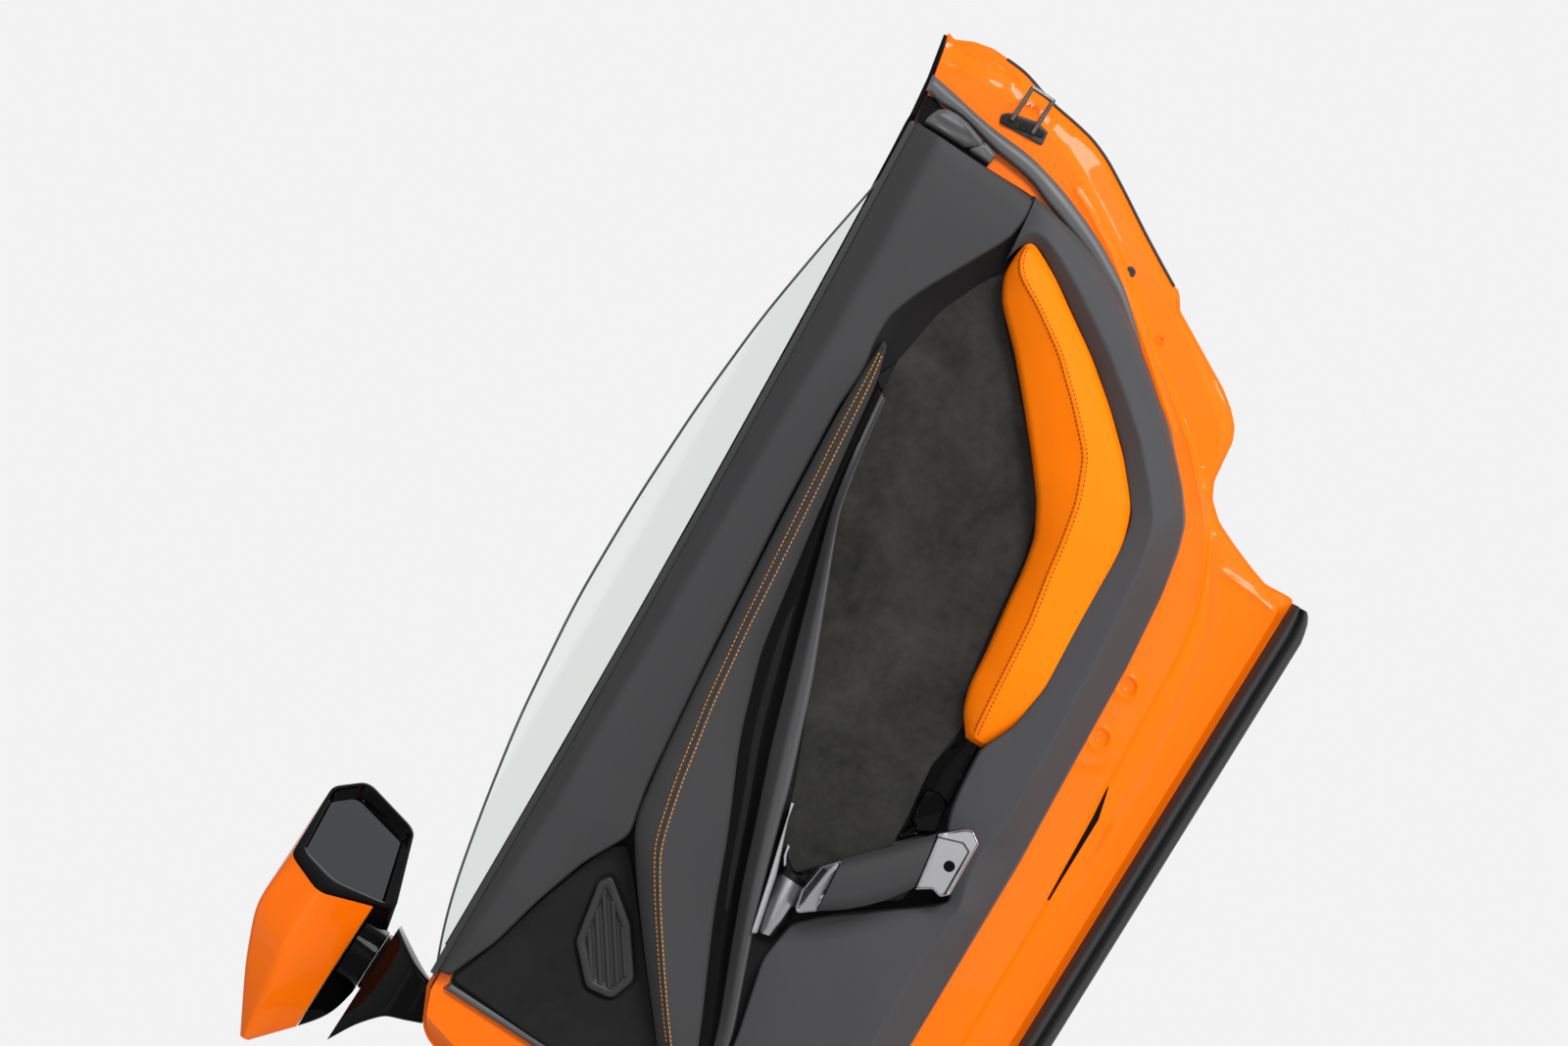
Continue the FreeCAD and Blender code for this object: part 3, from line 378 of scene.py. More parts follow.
class Finishes:
    """Every finish on the door."""

    PAINT = Finish("body paint", "paint", (0.96, 0.160, 0.0), 0.34, specular=0.06, coat=0.20,
                   coat_roughness=0.03, mottle_spread=0.02, drift=0.03, grain_size=5200.0,
                   grain_strength=0.03, grain_depth=0.00008)
    GLOSS = Finish("gloss black", "black_paint", (0.0022, 0.0022, 0.0024), 0.08, specular=0.05,
                   mottle_spread=0.05, drift=0.03, grain_strength=0.0)
    LEATHER = Finish("dark leather", "dark_leather", (0.041, 0.041, 0.043), 0.60, specular=0.15,
                     mottle_size=9.0, mottle_spread=0.10, drift=0.06, grain_strength=0.22)
    PALE_LEATHER = replace(LEATHER, name="pale dark leather", colour=(0.055, 0.055, 0.058), roughness=0.58)
    # Near-black copy of the dark leather: painted shade on the belt trim's return face.
    PAINTED_SHADE_LEATHER = replace(LEATHER, name="leather with painted shade", colour=(0.012, 0.012, 0.0125), roughness=0.62,
                            specular=0.10)
    # Near-black: black leather with painted shade in the channel's trough, painted shade in the drain slot
    # and the end cap's cavity, and the bezel screw's own black.
    BLACK_AND_PAINTED_SHADE = replace(LEATHER, name="black leather and painted shade", colour=(0.003, 0.003, 0.0033), roughness=0.36,
                      specular=0.06, grain_size=1100.0, grain_strength=0.10, grain_depth=0.0002)
    # Lighter copy of the channel leather: painted light on the channel's rim.
    LIT_RIM_LEATHER = replace(BLACK_AND_PAINTED_SHADE, name="satin rim leather with painted light", colour=(0.060, 0.060, 0.063), roughness=0.38,
                          specular=0.40, grain_strength=0.12)
    ORANGE = Finish("orange leather", "orange_leather", (1.0, 0.20, 0.0), 0.58, specular=0.10,
                    mottle_size=10.0, mottle_spread=0.03, drift=0.05, grain_strength=0.18)
    SUEDE = Finish("brushed suede", "suede", (0.029, 0.0285, 0.0275), 0.95, specular=0.08, sheen=0.10,
                   mottle_size=13.0, mottle_spread=0.50, mottle_contrast=2.6, drift=0.02,
                   grain_size=1900.0, grain_strength=0.35, grain_depth=0.0005)
    LINING = Finish("soft dark lining", "dark_plastic", (0.015, 0.015, 0.015), 0.92, specular=0.1,
                    mottle_size=16.0, mottle_spread=0.30, mottle_contrast=1.5, drift=0.02,
                    grain_size=1500.0, grain_strength=0.3, grain_depth=0.0004)
    PLASTIC = Finish("moulded plastic", "dark_plastic", (0.018, 0.018, 0.019), 0.5, specular=0.3,
                     mottle_spread=0.06, grain_size=1400.0, grain_strength=0.2, grain_depth=0.0002)
    RUBBER = Finish("seal rubber", "rubber", (0.021, 0.0205, 0.021), 0.45, specular=0.35,
                    mottle_size=18.0, mottle_spread=0.12, drift=0.08, grain_size=2400.0,
                    grain_strength=0.12, grain_depth=0.0002)
    SOFT_RUBBER = replace(RUBBER, name="soft seal rubber", colour=(0.074, 0.074, 0.077), roughness=0.44,
                          specular=0.40, grain_size=2000.0)
    SILVER = Finish("satin silver", "silver", (0.31, 0.31, 0.32), 0.23, metallic=1.0,
                    mottle_spread=0.03, drift=0.05, grain_size=4200.0, grain_strength=0.05,
                    grain_depth=0.00008)
    STEEL = Finish("plated steel", "steel", (0.12, 0.11, 0.10), 0.26, metallic=1.0, mottle_size=30.0,
                   mottle_spread=0.14, drift=0.10, grain_size=3000.0, grain_strength=0.10,
                   grain_depth=0.0001)
    DARK_STEEL = replace(STEEL, name="dark plated steel", colour=(0.02, 0.019, 0.018), roughness=0.30)
    CAST = Finish("coated casting", "cast", (0.035, 0.035, 0.037), 0.46, metallic=0.3,
                  mottle_size=22.0, mottle_spread=0.15, drift=0.07, grain_size=1100.0,
                  grain_crease=0.2, grain_strength=0.35, grain_depth=0.0004)
    # Very low reflectance: a painted reflection of dark surroundings, darker than real silvering.
    MIRROR = Finish("mirror silvering with painted dark reflection", "mirror", (0.06, 0.064, 0.068), 0.03, metallic=1.0,
                    mottle_spread=0.02, drift=0.01, grain_strength=0.0)
    AMBER_THREAD = Finish("amber thread", "orange_leather", (0.78, 0.29, 0.02), 0.6, specular=0.2,
                          sheen=0.1, mottle_size=200.0, mottle_spread=0.15, grain_size=3500.0,
                          grain_strength=0.3, grain_depth=0.0002)
    DARK_THREAD = replace(AMBER_THREAD, name="dark thread", slot="dark_leather",
                          colour=(0.10, 0.022, 0.004), roughness=0.65, sheen=0.0)
    GLASS = ClearGlass()
    GLASS_EDGE = Finish("ground glass edge", "glass", (0.03, 0.045, 0.04), 0.25, specular=0.5,
                        mottle_spread=0.05, grain_strength=0.0)


# Shapes
def smoothed(values: np.ndarray, reach: float) -> np.ndarray:
    """Rows smoothed along their run, with both ends kept.

    Args:
        values: (n, c) rows.
        reach: spread of the smoothing, in rows.

    Returns:
        (n, c) smoothed rows.
    """
    if reach < 0.3:
        return values
    wide = min(int(3.0 * reach) + 1, len(values) - 1)
    kernel = np.exp(-0.5 * (np.arange(-wide, wide + 1) / reach) ** 2)
    kernel /= kernel.sum()
    head = 2.0 * values[0] - values[wide:0:-1]
    tail = 2.0 * values[-1] - values[-2:-wide - 2:-1]
    padded = np.concatenate([head, values, tail])
    columns = [np.convolve(padded[:, i], kernel, mode="valid") for i in range(values.shape[1])]
    return np.stack(columns, axis=1)


def columns_at(places: np.ndarray, run: np.ndarray, rows: np.ndarray) -> np.ndarray:
    """Rows read off at places along their run."""
    return np.stack([np.interp(places, run, rows[:, i]) for i in range(rows.shape[1])], axis=1)


def resampled(rows: np.ndarray, run: np.ndarray, step: float, soften: float) -> np.ndarray:
    """Rows laid at an even step along a run, with the bends between them rounded.

    Args:
        rows: (n, c) rows.
        run: (n,) distance of each row along the run.
        step: wanted distance between rows.
        soften: distance over which bends are rounded.

    Returns:
        (m, c) rows.
    """
    count = max(6, int(run[-1] / step) + 1)
    places = np.linspace(0.0, run[-1], count)
    return smoothed(columns_at(places, run, rows), soften * (count - 1) / run[-1])


def run_of(points: np.ndarray) -> np.ndarray:
    """Distance of each point along the line through them."""
    return np.concatenate([[0.0], np.cumsum(np.linalg.norm(np.diff(points, axis=0), axis=1))])


def bend(start: np.ndarray, corner: np.ndarray, end: np.ndarray, count: int) -> list[np.ndarray]:
    """Points of a bend from start to end that is drawn towards the corner."""
    shares = np.linspace(0.0, 1.0, count)
    return [(1 - s) ** 2 * start + 2 * s * (1 - s) * corner + s * s * end for s in shares]


def circle(count: int) -> tuple[np.ndarray, np.ndarray]:
    """Cosines and sines of evenly spread turns round a circle."""
    turns = np.linspace(0.0, 2.0 * math.pi, count, endpoint=False)
    return np.cos(turns), np.sin(turns)


def rounded_profile(
    corners: np.ndarray, radii: Sequence[float], around: int = 5, span: int = 3
) -> np.ndarray:
    """Cross profiles with their corners rounded.

    Args:
        corners: (m, k, 2) corners of m profiles.
        radii: rounding at each of the k corners.
        around: points round a corner.
        span: points between corners.

    Returns:
        (m, K, 2) profiles with the same number of points in each.
    """
    def between(start: np.ndarray, end: np.ndarray) -> list[np.ndarray]:
        """Points spread along a straight, without its ends."""
        return [start + (end - start) * s for s in np.linspace(0.0, 1.0, span + 2)[1:-1]]

    rows = [corners[:, 0]]
    last = corners[:, 0]
    for i in range(1, corners.shape[1] - 1):
        here = corners[:, i]
        run_in, run_out = here - corners[:, i - 1], corners[:, i + 1] - here
        length_in = np.maximum(np.linalg.norm(run_in, axis=1, keepdims=True), 1e-6)
        length_out = np.maximum(np.linalg.norm(run_out, axis=1, keepdims=True), 1e-6)
        cut = np.minimum(radii[i], 0.45 * np.minimum(length_in, length_out))
        start, end = here - run_in / length_in * cut, here + run_out / length_out * cut
        rows += between(last, start) + bend(start, here, end, around)
        last = end
    rows += between(last, corners[:, -1])
    rows.append(corners[:, -1])
    return np.stack(rows, axis=1)


def grid_faces(rows: int, columns: int, wrap: bool = False, first: int = 0) -> Faces:
    """Quads over a grid of points.

    Args:
        rows: number of rows.
        columns: points in a row.
        wrap: join each row's last point to its first.
        first: index of the grid's first point.

    Returns:
        The faces.
    """
    across = columns if wrap else columns - 1
    return [
        (
            first + r * columns + c,
            first + r * columns + (c + 1) % columns,
            first + (r + 1) * columns + (c + 1) % columns,
            first + (r + 1) * columns + c,
        )
        for r in range(rows - 1)
        for c in range(across)
    ]


def closed_grid(grid: np.ndarray) -> Shape:
    """A grid wrapped round into a closed form, with both ends capped.

    Args:
        grid: (m, k, 3) points; each row is a closed loop.

    Returns:
        Its points and faces.
    """
    rows, columns, _ = grid.shape
    faces = grid_faces(rows, columns, wrap=True)
    faces.append(tuple(range(columns))[::-1])
    faces.append(tuple((rows - 1) * columns + c for c in range(columns)))
    return grid.reshape(-1, 3), faces


def grid_normals(grid: np.ndarray) -> np.ndarray:
    """Unit normals of a grid's points, turned inboard."""
    along = np.gradient(grid, axis=0)
    across = np.gradient(grid, axis=1)
    normals = np.cross(along, across)
    normals /= np.maximum(np.linalg.norm(normals, axis=2, keepdims=True), 1e-9)
    return np.where(normals[:, :, 1:2] > 0.0, -normals, normals)


def add_object(name: str, data: bpy.types.ID) -> bpy.types.Object:
    """Put a new object with its data in the scene."""
    made = bpy.data.objects.new(name, data)
    bpy.context.scene.collection.objects.link(made)
    return made


def make_piece(
    name: str,
    points: np.ndarray,
    faces: Faces,
    finish: Finish | ClearGlass,
    body: Body = Body.DOOR,
    stands_for: Sequence[str] = (),
    sharp: float = 32.0,
) -> bpy.types.Object:
    """Make a piece of the door, in its place and on its body.

    Args:
        name: the piece's name.
        points: (n, 3) door points in millimetres.
        faces: its faces.
        finish: its finish.
        body: the frame's body that it moves with.
        stands_for: the frame's nodes that it takes the place of.
        sharp: angle in degrees over which an edge stays crisp.

    Returns:
        The new object.
    """
    mesh = bpy.data.meshes.new(name)
    mesh.from_pydata([tuple(p) for p in SWING.place(points)], [], faces)
    work = bmesh.new()
    work.from_mesh(mesh)
    bmesh.ops.remove_doubles(work, verts=work.verts, dist=0.00002)
    bmesh.ops.recalc_face_normals(work, faces=work.faces)
    work.to_mesh(mesh)
    work.free()
    mesh.validate()
    mesh.materials.append(finish.material())
    mesh.shade_smooth()
    mesh.set_sharp_from_angle(angle=math.radians(sharp))
    piece = add_object(name, mesh)
    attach(piece, body.value)
    if stands_for:
        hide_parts(*stands_for)
    log.info("%s: %d faces", name, len(mesh.polygons))
    return piece


def rounded_loop(corners: Rows, radius: float, spacing: float) -> np.ndarray:
    """Closed outline with rounded corners and evenly spread points.

    Args:
        corners: x, z and, where it differs, corner radius.
        radius: corner radius of the rest.
        spacing: distance between points.

    Returns:
        (n, 2) points.
    """
    count = len(corners)
    points: list[np.ndarray] = []
    for i in range(count):
        before, here, after = (np.array(corners[j % count][:2], float) for j in (i - 1, i, i + 1))
        corner = corners[i][2] if len(corners[i]) > 2 else radius
        run_in, run_out = here - before, after - here
        length_in, length_out = np.linalg.norm(run_in), np.linalg.norm(run_out)
        turn = math.acos(max(-1.0, min(1.0, float(run_in @ run_out / (length_in * length_out)))))
        cut = min(corner * math.tan(turn / 2.0), 0.48 * length_in, 0.48 * length_out)
        start, end = here - run_in / length_in * cut, here + run_out / length_out * cut
        points += bend(start, here, end, 7)
    ring = np.array(points + [points[0]])
    run = run_of(ring)
    places = np.linspace(0.0, run[-1], max(12, int(run[-1] / spacing)), endpoint=False)
    return columns_at(places, run, ring)


def inset_loop(loop: np.ndarray, distance: float) -> np.ndarray:
    """Closed outline moved inwards by distance, point by point."""
    after, before = np.roll(loop, -1, axis=0), np.roll(loop, 1, axis=0)
    tangent = after - before
    tangent /= np.maximum(np.linalg.norm(tangent, axis=1, keepdims=True), 1e-9)
    area = float(np.sum(loop[:, 0] * after[:, 1] - after[:, 0] * loop[:, 1]))
    side = 1.0 if area > 0.0 else -1.0
    return loop + np.stack([-tangent[:, 1], tangent[:, 0]], axis=1) * side * distance


def line_distance(points: np.ndarray, line: np.ndarray) -> np.ndarray:
    """Distance of each point from a line through given points.

    Args:
        points: (n, 2) points.
        line: (m, 2) points of the line.

    Returns:
        (n,) distances.
    """
    best = np.full(len(points), 1e9)
    for start, end in zip(line[:-1], line[1:]):
        run = end - start
        share = np.clip(((points - start) @ run) / max(float(run @ run), 1e-9), 0.0, 1.0)
        best = np.minimum(best, np.linalg.norm(points - start - share[:, None] * run, axis=1))
    return best


def closed(loop: np.ndarray) -> np.ndarray:
    """A loop with its first point repeated at its end."""
    return np.concatenate([loop, loop[:1]])


def inside_loop(points: np.ndarray, loop: np.ndarray) -> np.ndarray:
    """Which points lie inside a closed loop.

    Args:
        points: (n, 2) points.
        loop: (m, 2) loop whose last point repeats its first.

    Returns:
        (n,) truth of each.
    """
    odd = np.zeros(len(points), bool)
    for (x1, z1), (x2, z2) in zip(loop[:-1], loop[1:]):
        if z1 == z2:
            continue
        crosses = (z1 > points[:, 1]) != (z2 > points[:, 1])
        at = x1 + (points[:, 1] - z1) * (x2 - x1) / (z2 - z1)
        odd ^= crosses & (points[:, 0] < at)
    return odd


def outward(points: np.ndarray, loop: np.ndarray) -> np.ndarray:
    """Distance of each point from a closed loop, negative inside it."""
    away = line_distance(points, loop)
    return np.where(inside_loop(points, loop), -away, away)


def filled(loop: np.ndarray, spacing: float, lines: np.ndarray | None = None) -> Shape:
    """Triangles over the inside of a loop, with points spread evenly over it.

    Args:
        loop: (n, 2) closed outline.
        spacing: distance between inner points.
        lines: further points, laid along the creases of the face.

    Returns:
        Points, of which the first n are the loop's, and faces.
    """
    low, high = loop.min(axis=0), loop.max(axis=0)
    xs = np.arange(low[0] + spacing / 2, high[0], spacing)
    zs = np.arange(low[1] + spacing / 2, high[1], spacing * 0.87)
    shifts = (0.0, spacing / 2)
    inner = np.array([(x + shifts[k % 2], z) for k, z in enumerate(zs) for x in xs]).reshape(-1, 2)
    ring = closed(loop)
    inner = inner[outward(inner, ring) < -0.6 * spacing] if len(inner) else inner
    if lines is not None:
        lines = lines[outward(lines, ring) < -1.0]
        cells: dict[tuple[int, int], list[np.ndarray]] = {}
        for point in lines:
            cells.setdefault((int(point[0] // spacing), int(point[1] // spacing)), []).append(point)
        keep = []
        for point in inner:
            cx, cz = int(point[0] // spacing), int(point[1] // spacing)
            near = [q for dx in (-1, 0, 1) for dz in (-1, 0, 1) for q in cells.get((cx + dx, cz + dz), [])]
            keep.append(all(np.hypot(*(point - q)) > 0.55 * spacing for q in near))
        inner = np.concatenate([inner[np.array(keep, bool)], lines])
    points = [Vector((float(x), float(z))) for x, z in np.concatenate([loop, inner])]
    edges = [(i, (i + 1) % len(loop)) for i in range(len(loop))]
    verts, _, faces, origins, _, _ = geometry.delaunay_2d_cdt(points, edges, [], 1, 1e-4)
    count = len(loop)
    slots: dict[int, int] = {}
    extra: list[tuple[float, float]] = []
    used = sorted({i for face in faces for i in face})
    for i in used:
        first = origins[i][0] if origins[i] else -1
        if 0 <= first < count:
            slots[i] = first
        else:
            slots[i] = count + len(extra)
            extra.append(tuple(verts[i]))
    table = np.concatenate([loop, np.array(extra).reshape(-1, 2)])
    return table, [tuple(slots[i] for i in face) for face in faces]


@dataclass
class Plate:
    """A piece drawn by its outline, with stepped or rounded edges and a shaped face.

    Attributes:
        outline: corners x, z and, where it differs, corner radius.
        rings: (inset, rise) of each loop from the back edge to the face's edge.
        radius: corner radius of the rest.
        spacing: distance between points of the outline.
        fill: distance between points of the face.
        face: rise added over the face, from the points and their distances to the edge.
        creases: points laid along the creases of the face, so that they stay crisp.
    """

    outline: Rows
    rings: Rows
    radius: float = 6.0
    spacing: float = 3.0
    fill: float = 8.0
    face: Relief | None = None
    creases: np.ndarray | None = None

    def shape(self) -> Shape:
        """Points and faces of the closed form."""
        base = rounded_loop(self.outline, self.radius, self.spacing)
        loops = [inset_loop(base, inset) for inset, _ in self.rings]
        count = len(base)
        table, triangles = filled(loops[-1], self.fill, self.creases)
        rise = np.full(len(table), float(self.rings[-1][1]))
        if self.face is not None:
            edge = line_distance(table, closed(loops[-1]))
            rise = rise + self.face(table, edge)
        points = [
            np.stack([loop[:, 0], np.full(count, -ring[1]), loop[:, 1]], axis=1)
            for loop, ring in zip(loops[:-1], self.rings[:-1])
        ]
        first = count * (len(loops) - 1)
        points.append(np.stack([table[:, 0], -rise, table[:, 1]], axis=1))
        faces = grid_faces(len(loops), count, wrap=True)
        faces += [tuple(first + i for i in triangle) for triangle in triangles]
        faces.append(tuple(range(count))[::-1])
        return np.concatenate(points), faces

    def piece(
        self, name: str, finish: Finish, stands_for: Sequence[str] = (), sharp: float = 32.0
    ) -> bpy.types.Object:
        """Make the plate a piece of the door."""
        return make_piece(name, *self.shape(), finish, stands_for=stands_for, sharp=sharp)


def rolled_edge(base: float, rise: float, bevel: float, steps: int = 4) -> list[tuple[float, float]]:
    """Rings of a plate whose edge rolls over into its face.

    Args:
        base: rise of the back.
        rise: rise of the face.
        bevel: radius of the roll.
        steps: loops round the roll.

    Returns:
        (inset, rise) rows.
    """
    rings = [(0.0, base)]
    for i in range(steps + 1):
        angle = math.pi / 2.0 * i / steps
        rings.append((bevel * (1.0 - math.cos(angle)), rise - bevel * (1.0 - math.sin(angle))))
    return rings


def dip(depth: float, reach: float) -> Relief:
    """Relief that sinks by a depth, or swells by a negative one, over a reach from the edge."""
    return lambda points, edge: -depth * (1.0 - np.exp(-edge / reach))


@dataclass
class Band:
    """A long soft-edged piece laid across stations.

    Attributes:
        rows: x1, z1, x2, z2 of each crossing, then the values that the profile takes.
        profile: corners across, from the width and the values at each crossing.
        radii: rounding at each corner of the profile.
        step: distance between crossings made.
        soften: distance over which bends along the piece are rounded.
        end_roll: distance over which its ends roll down.
    """

    rows: Rows
    profile: Callable[[np.ndarray, np.ndarray], list[tuple[object, object]]]
    radii: Sequence[float]
    step: float = 5.0
    soften: float = 10.0
    end_roll: float = 0.0

    def grid(self) -> np.ndarray:
        """(m, k, 3) points of the piece, each row once round its section."""
        rows = np.array(self.rows, float)
        middle = (rows[:, 0:2] + rows[:, 2:4]) / 2.0
        dense = resampled(rows, run_of(middle), self.step, self.soften)
        first, second = dense[:, 0:2], dense[:, 2:4]
        width = np.linalg.norm(second - first, axis=1)
        corners = self.profile(width, dense[:, 4:].T)
        stack = np.stack(
            [np.stack(np.broadcast_arrays(a * np.ones_like(width), r * np.ones_like(width)), axis=1)
             for a, r in corners], axis=1
        )
        section = rounded_profile(stack, self.radii)
        if self.end_roll > 0.0:
            run = run_of((first + second) / 2.0)
            near = np.minimum(run, run[-1] - run)
            share = np.clip(1.0 - near / self.end_roll, 0.0, 1.0)
            section[:, :, 1] *= np.sqrt(np.maximum(1.0 - share ** 2, 0.02))[:, None]
        across = (second - first) / np.maximum(width, 1e-6)[:, None]
        flat = first[:, None, :] + across[:, None, :] * section[:, :, 0:1]
        return np.stack([flat[:, :, 0], -section[:, :, 1], flat[:, :, 1]], axis=2)

    def piece(self, name: str, finish: Finish, stands_for: Sequence[str] = ()) -> bpy.types.Object:
        """Make the band a piece of the door."""
        return make_piece(name, *closed_grid(self.grid()), finish, stands_for=stands_for)


def stitch_row(path: np.ndarray, normals: np.ndarray, pitch: float, length: float, radius: float,
               sink: float = 0.25) -> Shape:
    """A row of stitches, each a short thread that dips into the leather at its ends.

    Args:
        path: (n, 3) points of the row.
        normals: (n, 3) unit normals there.
        pitch: distance from one stitch to the next.
        length: length of one stitch.
        radius: radius of the thread.
        sink: how far the ends dip below the middle.

    Returns:
        Points and faces of the whole row.
    """
    run = run_of(path)
    cosines, sines = (values[None, :, None] for values in circle(6))
    shares = np.array([0.0, 0.16, 0.5, 0.84, 1.0])
    girth = np.array([0.30, 0.86, 1.0, 0.86, 0.30]) * radius
    lift = np.array([-1.0, -0.1, 0.35, -0.1, -1.0]) * sink
    stitches = []
    for k in range(int((run[-1] - length) / pitch)):
        places = k * pitch + shares * length
        centre, up = columns_at(places, run, path), columns_at(places, run, normals)
        along = centre[-1] - centre[0]
        along /= max(float(np.linalg.norm(along)), 1e-9)
        up -= (up @ along)[:, None] * along
        up /= np.linalg.norm(up, axis=1, keepdims=True)
        side = np.cross(up, along)
        centre = centre + up * lift[:, None]
        rings = centre[:, None] + girth[:, None, None] * (cosines * up[:, None] + sines * side[:, None])
        stitches.append(closed_grid(rings))
    return merged(stitches)


def turned(profile: Rows, place: tuple[float, float], rise: float, sides: int = 32) -> Shape:
    """A round piece that stands on the panel.

    Args:
        profile: (radius, rise) from the foot up.
        place: x and z of its centre.
        rise: rise of the surface that it stands on.
        sides: points round it.

    Returns:
        Its points and faces.
    """
    cosines, sines = circle(sides)
    rings = [
        np.stack([place[0] + r * cosines, np.full(sides, -(rise + h)), place[1] + r * sines], axis=1)
        for r, h in profile
    ]
    return closed_grid(np.stack(rings))


def tube(path: np.ndarray, radius: float, sides: int = 10) -> Shape:
    """A round bar along a path.

    Args:
        path: (n, 3) points.
        radius: its radius.
        sides: points round it.

    Returns:
        Points and faces.
    """
    along = np.gradient(path, axis=0)
    along /= np.linalg.norm(along, axis=1, keepdims=True)
    side = np.cross(along, np.array([0.0, 1.0, 0.0]))
    side /= np.maximum(np.linalg.norm(side, axis=1, keepdims=True), 1e-9)
    up = np.cross(side, along)
    cosines, sines = (values[None, :, None] for values in circle(sides))
    return closed_grid(path[:, None] + radius * (cosines * side[:, None] + sines * up[:, None]))


def merged(shapes: Sequence[Shape]) -> Shape:
    """Several shapes' points and faces as one."""
    points, faces, first = [], [], 0
    for shape_points, shape_faces in shapes:
        points.append(shape_points)
        faces += [tuple(first + i for i in face) for face in shape_faces]
        first += len(shape_points)
    return np.concatenate(points), faces


# The shell
@dataclass
class Shell:
    """Pressed inner panel and sculpted outer skin."""

    rim: float = 20.0
    seal_drop: float = 2.0
    panel_inset: float = 3.0
    panel_drop: float = 5.0
    skin_overhang: float = 0.5
    sheet: float = 2.0
    edge: Rows = (
        # x, z, corner radius
        (1295, 266, 3), (1290, 256, 4), (1300, 236, 8), (1305, 214, 18), (1304, 188, 22),
        (1302, 166, 8), (1297, 154, 10), (1290, 129, 25), (1286, 98, 40), (1281, 71, 25),
        (1271, 46, 30), (1253, 14, 60), (1225, -33, 60), (1204, -71, 40), (1196, -86, 10),
        (1193, -95, 8), (1184, -102, 7), (1176, -107, 6), (1171, -117, 10), (1146, -163, 60),
        (1131, -191, 40), (1117, -210, 25), (1103, -224, 14), (1088, -231, 18), (1064, -234, 40),
        (1042, -237, 20), (1024, -246, 18), (1007, -266, 25), (995, -294, 40), (985, -321, 40),
        (978, -343, 16), (981, -380, 8), (140, -392, 60), (66, -330, 50), (52, -120, 80),
        (54, 60, 80), (84, 160, 40),
    )
    inner_crease: Rows = (
        # x, z, corner radius
        (1268, 268, 4), (1264, 236, 30), (1266, 205, 30), (1264, 170, 30), (1260, 135, 30),
        (1253, 103, 30), (1246, 83, 20), (1238, 62, 20), (1224, 42, 30), (1196, -6, 60),
        (1171, -43, 60), (1143, -78, 60), (1102, -135, 60), (1057, -193, 60), (1012, -238, 40),
        (990, -256, 30), (967, -271, 40), (916, -293, 40), (860, -303, 60), (700, -313, 60),
        (560, -327, 60), (300, -334, 60), (170, -328, 50), (100, -290, 50), (76, -120, 60),
        (76, 60, 60), (104, 168, 30), (140, 200, 6), (700, 228, 200), (1190, 262, 60),
    )
    outer_crease: Rows = (
        # x, z, corner radius
        (1286, 270, 4), (1281, 240, 20), (1288, 208, 30), (1286, 172, 30), (1279, 129, 40),
        (1272, 85, 30), (1268, 63, 20), (1262, 49, 20), (1236, 7, 60), (1210, -37, 60),
        (1190, -76, 40), (1178, -98, 12), (1166, -108, 12), (1145, -142, 50), (1120, -176, 40),
        (1100, -206, 20), (1084, -219, 16), (1060, -225, 30), (1038, -229, 20), (1014, -242, 20),
        (998, -264, 30), (986, -290, 40), (974, -322, 40), (967, -345, 30), (964, -370, 8),
        (150, -381, 60), (86, -322, 50), (65, -120, 80), (67, 60, 80), (96, 166, 40), (130, 204, 6),
        (700, 232, 200), (1192, 266, 60),
    )
    beads: Rows = (
        # width, height, then x, z along the bead
        (2.6, 2.2, 1222, 56, 1212, 35, 1184, -14, 1138, -75, 1096, -127, 1060, -172),
        (2.6, -1.6, 1288, 250, 1284, 240, 1292, 222, 1293, 200, 1290, 176),
        (3.0, 1.5, 1256, 256, 1264, 236, 1272, 212, 1275, 186),
        (3.0, 1.8, 706, -271, 719, -300, 734, -306),
        (3.0, -1.8, 1000, -262, 900, -316, 780, -332, 520, -350, 300, -354),
        (3.5, 2.2, 670, -346, 581, -347, 300, -358),
        (3.2, 2.0, 964, -300, 962, -341, 958, -366),
        (1.6, 1.2, 1196, -12, 1140, -88, 1100, -141, 1055, -196, 1010, -242, 989, -260, 960, -276,
         912, -295),
    )
    belt_corners: Rows = (
        # x, corner radius
        (130, 6), (420, 300), (700, 300), (940, 300), (1150, 300), (1192, 300),
    )
    wall: Rows = (
        # distance past the inner crease, drop
        (0.0, 0.0), (0.8, -0.6), (5.2, -6.2), (6.4, -6.8),
    )
    step: Rows = (
        # distance past the outer crease, drop
        (0.0, 0.0), (0.7, -0.4), (2.8, -2.9), (3.8, -3.3),
    )
    shelf_fall: float = 5.4
    hem_fall: float = 4.4
    dimples: Rows = (
        # x, z, radius
        (804, -276, 12), (742, -281, 12),
    )
    dimple_depth: float = 2.4
    dimple_rings: Rows = (
        # height, then place and width as shares of the dimple's radius
        (1.1, 1.0, 0.13), (1.0, 0.35, 0.12),
    )
    skin_roll: Rows = (
        # inset, distance short of the skin's face
        (0.0, 9.0), (0.6, 6.5), (1.8, 4.2), (3.2, 2.9),
    )
    skin: Rows = (
        # x, then z and outboard distance at belt, shoulder, crease, hollow, sill and foot
        (30, 178, 46, 120, 80, 10, 92, -120, 88, -300, 92, -405, 56),
        (420, 199, 50, 130, 100, 0, 118, -130, 96, -300, 112, -405, 66),
        (820, 222, 52, 140, 112, -10, 130, -150, 80, -300, 118, -405, 72),
        (1120, 240, 54, 150, 118, -10, 132, -150, 66, -300, 112, -405, 68),
        (1315, 276, 56, 170, 112, 0, 124, -150, 62, -300, 105, -405, 64),
    )
    black_hem: Rows = (
        (1304, 196), (1303, 172), (1298, 156), (1290, 129), (1286, 98), (1281, 71), (1271, 46),
        (1253, 14), (1225, -33), (1204, -71), (1195, -88),
    )
    drain: Rows = ((716, -315, 2), (668, -321, 20), (566, -327, 3), (566, -330, 3), (668, -328, 20))

